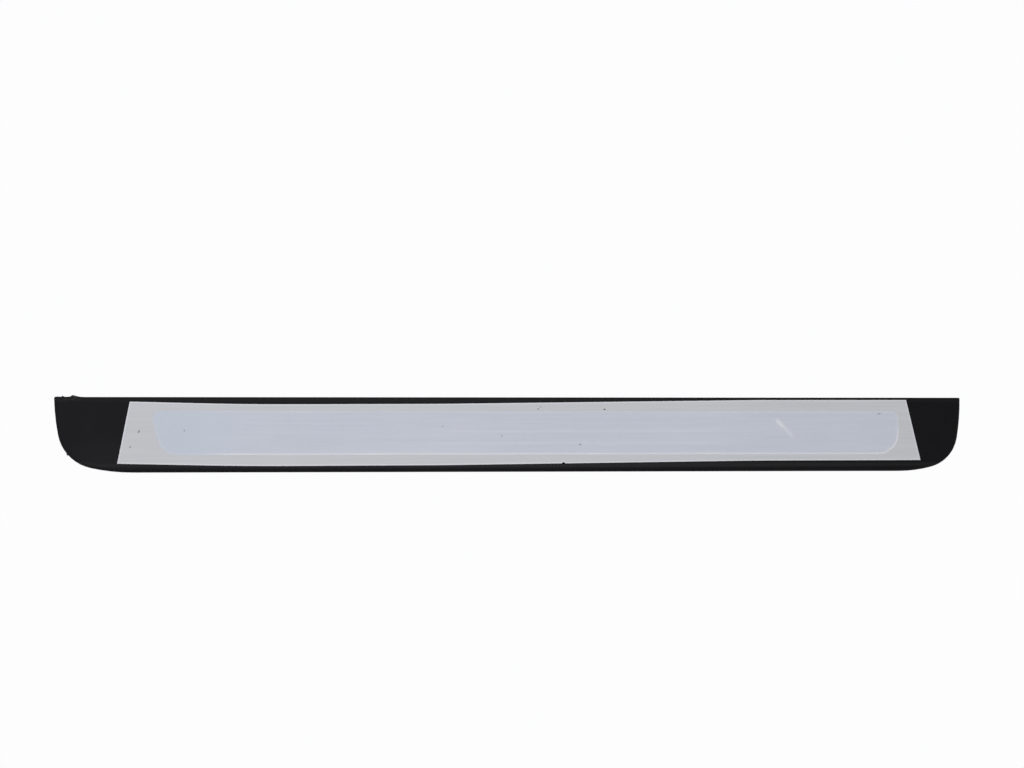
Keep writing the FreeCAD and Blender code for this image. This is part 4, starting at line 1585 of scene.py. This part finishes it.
@dataclass
class FoamPads:
    """The anti-rattle pads: foam blocks with soft edges, an uneven skin and an adhesive liner."""

    foam: OpenCellFoam
    liner: CloudedSolid
    count: int = 4
    step: float = 0.55
    corner: float = 0.8
    waist: float = 0.28
    crown: float = 0.25
    skin: float = 0.16
    liner_depth: float = 0.45

    def block(self, low: Vector, high: Vector) -> Skin:
        """Builds the skin of one foam block inside its CAD solid.

        Args:
            low: The solid's lowest corner in millimetres.
            high: Its highest corner.

        Returns:
            The vertices and the faces.
        """
        size = high - low
        counts = [max(2, round(side / self.step)) for side in size]
        known: dict[tuple[int, int, int], int] = {}
        points: list[Vector] = []
        faces: list[Face] = []

        def vertex(cell: tuple[int, int, int]) -> int:
            """Finds the vertex at a grid point, made on its first use.

            Args:
                cell: The grid point.

            Returns:
                The vertex's number.
            """
            if cell not in known:
                known[cell] = len(points)
                share = Vector([c / n for c, n in zip(cell, counts)])
                points.append(self.settle(low, high, share))
            return known[cell]

        for axis in range(3):
            u, v = (axis + 1) % 3, (axis + 2) % 3
            for level in (0, counts[axis]):
                for a in range(counts[u]):
                    for b in range(counts[v]):
                        ring = []
                        for da, db in ((0, 0), (1, 0), (1, 1), (0, 1)):
                            cell = [0, 0, 0]
                            cell[axis], cell[u], cell[v] = level, a + da, b + db
                            ring.append(vertex((cell[0], cell[1], cell[2])))
                        faces.append(tuple(ring))
        return points, faces

    def settle(self, low: Vector, high: Vector, share: Vector) -> Vector:
        """Places one vertex of a foam block: rounded corners, a drawn-in waist, an uneven skin.

        Args:
            low: The solid's lowest corner in millimetres.
            high: Its highest corner.
            share: The vertex's place between the corners, from 0 to 1 on each axis.

        Returns:
            The vertex in millimetres.
        """
        flat = Vector([a + (b - a) * s for a, b, s in zip(low, high, share)])
        core = Vector([min(max(p, a + self.corner), b - self.corner) for p, a, b in zip(flat, low, high)])
        out = flat - core
        point = core + out.normalized() * self.corner if out.length > 1e-9 else flat
        middle = (low + high) / 2
        rough = 0.5 + 0.5 * noise.noise(point * 0.9) + 0.35 * noise.noise(point * 2.6)
        pull = self.waist * math.sin(math.pi * share.z) + self.skin * max(0.0, rough)
        for axis in (0, 1):
            if share[axis] in (0.0, 1.0):
                point[axis] += math.copysign(pull, middle[axis] - point[axis])
        if share.z == 0.0:
            rim = max(abs(share.x - 0.5), abs(share.y - 0.5)) * 2
            point.z += self.crown * rim**3 + self.skin * max(0.0, rough) * 0.7
        return point

    def make(self) -> None:
        """Builds every pad in place of its CAD solid."""
        foam, liner = self.foam.material(), self.liner.material()
        for number in range(1, self.count + 1):
            node = f"foam_pad_{number}"
            low, high = corners(node)
            points, faces = self.block(low, high)
            piece = build(f"foam_block_{number}", points, faces, [foam, liner], Slot.PAD, sharp=80.0)
            for face in piece.data.polygons:
                face.material_index = 1 if face.center.z / MM > high.z - self.liner_depth else 0
            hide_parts(node)


# ---------------------------------------------------------------- studio


@dataclass(frozen=True)
class Softbox:
    """A soft lamp: its name, its place in metres, its size and its power."""

    name: str
    place: Place
    size: tuple[float, float]
    power: float


@dataclass
class Studio:
    """The plain floor of white acrylic sheet, the light and the camera."""

    floor_level: float
    floor_radius: float = 7.0
    floor_colour: Colour = (0.80, 0.80, 0.805, 1.0)
    floor_through: float = 0.45
    backdrop: Colour = (0.990, 0.990, 1.0, 1.0)
    shown_white: float = 0.975
    room: Colour = (0.985, 0.99, 1.0, 1.0)
    zenith: float = 0.828
    horizon: float = 0.82
    nadir: float = 0.97
    left_fade: float = 0.83
    right_fade: float = 0.71
    boxes: tuple[Softbox, ...] = (
        Softbox("softbox_left", (-1.6, 1.9, 2.0), (3.4, 2.6), 8.0),
        Softbox("softbox_right", (1.7, 1.9, 2.0), (3.4, 2.6), 4.0),
    )
    camera_place: Place = (-0.0695, -0.0256, 1.00004)
    camera_turn: Place = (3.296, -3.8765, -0.1404)
    camera_lens: float = 56.223

    def floor(self) -> Piece:
        """Builds the floor: a wide disc at the level of the clips' tips, seen only from above.

        Returns:
            The floor.
        """
        profile = [(radius / MM, 0.0) for radius in (self.floor_radius, 0.4, 0.01)]
        points, faces = turned(Vector((0, 0, self.floor_level)), profile, 96)
        mesh = bpy.data.meshes.new("studio_floor")
        mesh.from_pydata([p * MM for p in points], [], [f for f in faces if len(f) == 4 or f[0]])
        mesh.materials.append(self.floor_material())
        work = bmesh.new()
        work.from_mesh(mesh)
        bmesh.ops.recalc_face_normals(work, faces=work.faces)
        for face in work.faces:
            if face.normal.z < 0:
                face.normal_flip()
        work.to_mesh(mesh)
        work.free()
        floor = placed("studio_floor", mesh)
        return floor

    def floor_material(self) -> Material:
        """Lays the floor's finish: near white to the camera, matt to the light, clear from below.

        Returns:
            The finished material.
        """
        paint = Paint("pale_studio_floor")
        graph = paint.graph
        cloud = paint.mask(Effect.MOTTLE, Clouds=3.0)
        low = tuple(v * 0.985 for v in self.floor_colour[:3]) + (1.0,)
        base = graph.blend(cloud, low, self.floor_colour)
        paint.set(Base_Color=base, Roughness=0.9, Specular_IOR_Level=0.1)
        through = graph.add("ShaderNodeBsdfTranslucent", {"Color": self.floor_colour}).outputs[0]
        sheet = graph.mixed(self.floor_through, paint.shader.outputs[0], through)
        path = graph.add("ShaderNodeLightPath")
        seen = graph.math("MAXIMUM", path.outputs["Is Camera Ray"], path.outputs["Is Glossy Ray"])
        seen = graph.math("MAXIMUM", seen, path.outputs["Is Transmission Ray"])
        white = graph.add("ShaderNodeEmission", {"Color": self.backdrop, "Strength": 1.0}).outputs[0]
        mixed = graph.mixed(graph.times(seen, self.shown_white), sheet, white)
        back = graph.add("ShaderNodeNewGeometry").outputs["Backfacing"]
        clear = graph.add("ShaderNodeBsdfTransparent").outputs[0]
        graph.feed(paint.output.inputs["Surface"], graph.mixed(back, mixed, clear))
        return paint.material

    def sky(self) -> None:
        """Builds the room's light: pale walls, a softer ceiling, and white below the floor."""
        world = bpy.data.worlds.new("studio_room")
        world.use_nodes = True
        bpy.context.scene.world = world
        world.node_tree.nodes.clear()
        graph = Graph(world.node_tree)
        way = graph.add("ShaderNodeTexCoord").outputs["Generated"]
        axes = graph.add("ShaderNodeSeparateXYZ", {0: way})
        level = graph.span(axes.outputs["Z"], 0.05, 0.6, self.horizon, self.zenith)
        for start, end, fade in ((-0.05, 0.45, self.right_fade), (-0.02, -0.3, self.left_fade)):
            level = graph.times(level, graph.span(axes.outputs["X"], start, end, 1.0, fade))
        level = graph.span(axes.outputs["Z"], -0.08, 0.0, self.nadir, level)
        room = graph.add("ShaderNodeBackground", {"Color": self.room, "Strength": level}).outputs[0]
        graph.add("ShaderNodeOutputWorld", {"Surface": room})

    def lamp(self, box: Softbox) -> None:
        """Hangs one softbox and turns it to the strip.

        Args:
            box: The lamp's place, size and power.
        """
        light = bpy.data.lights.new(box.name, "AREA")
        light.shape = "RECTANGLE"
        light.size, light.size_y = box.size
        light.energy = box.power
        lamp = placed(box.name, light)
        lamp.location = box.place
        lamp.rotation_euler = (-Vector(box.place)).to_track_quat("-Z", "Y").to_euler()

    def camera(self) -> None:
        """Sets the camera where the photograph was taken, with everything sharp."""
        data = bpy.data.cameras.new("photo_camera")
        data.sensor_width = 36.0
        data.lens = self.camera_lens
        data.clip_start, data.clip_end = 0.01, 50.0
        data.dof.use_dof = False
        camera = placed("photo_camera", data)
        camera.location = self.camera_place
        camera.rotation_euler = tuple(math.radians(v) for v in self.camera_turn)
        bpy.context.scene.camera = camera

    def make(self) -> None:
        """Sets up the floor, the light and the camera."""
        self.floor()
        self.sky()
        for box in self.boxes:
            self.lamp(box)
        self.camera()
        bpy.context.scene.view_settings.view_transform = "Standard"


def main() -> None:
    """Builds every sub-assembly in order."""
    logging.basicConfig(level=logging.INFO, format="%(name)s: %(message)s")
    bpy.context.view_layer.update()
    finishes = Finishes()
    plate = corners("trim_plate")[1].z
    Carrier(finishes.carrier).make()
    Inlay(finishes.inlay, finishes.rim, finishes.tape).make()
    film = FilmSheet(finishes.film, finishes.covered)
    film.make(plate)
    Dirt(finishes.grime, finishes.smudge).make(film, plate)
    fasteners = Fasteners(finishes.clip, finishes.seal)
    fasteners.make()
    FoamPads(finishes.foam, finishes.liner).make()
    Studio(fasteners.foot()).make()
    bpy.context.view_layer.update()


if __name__ == "__main__":
    main()
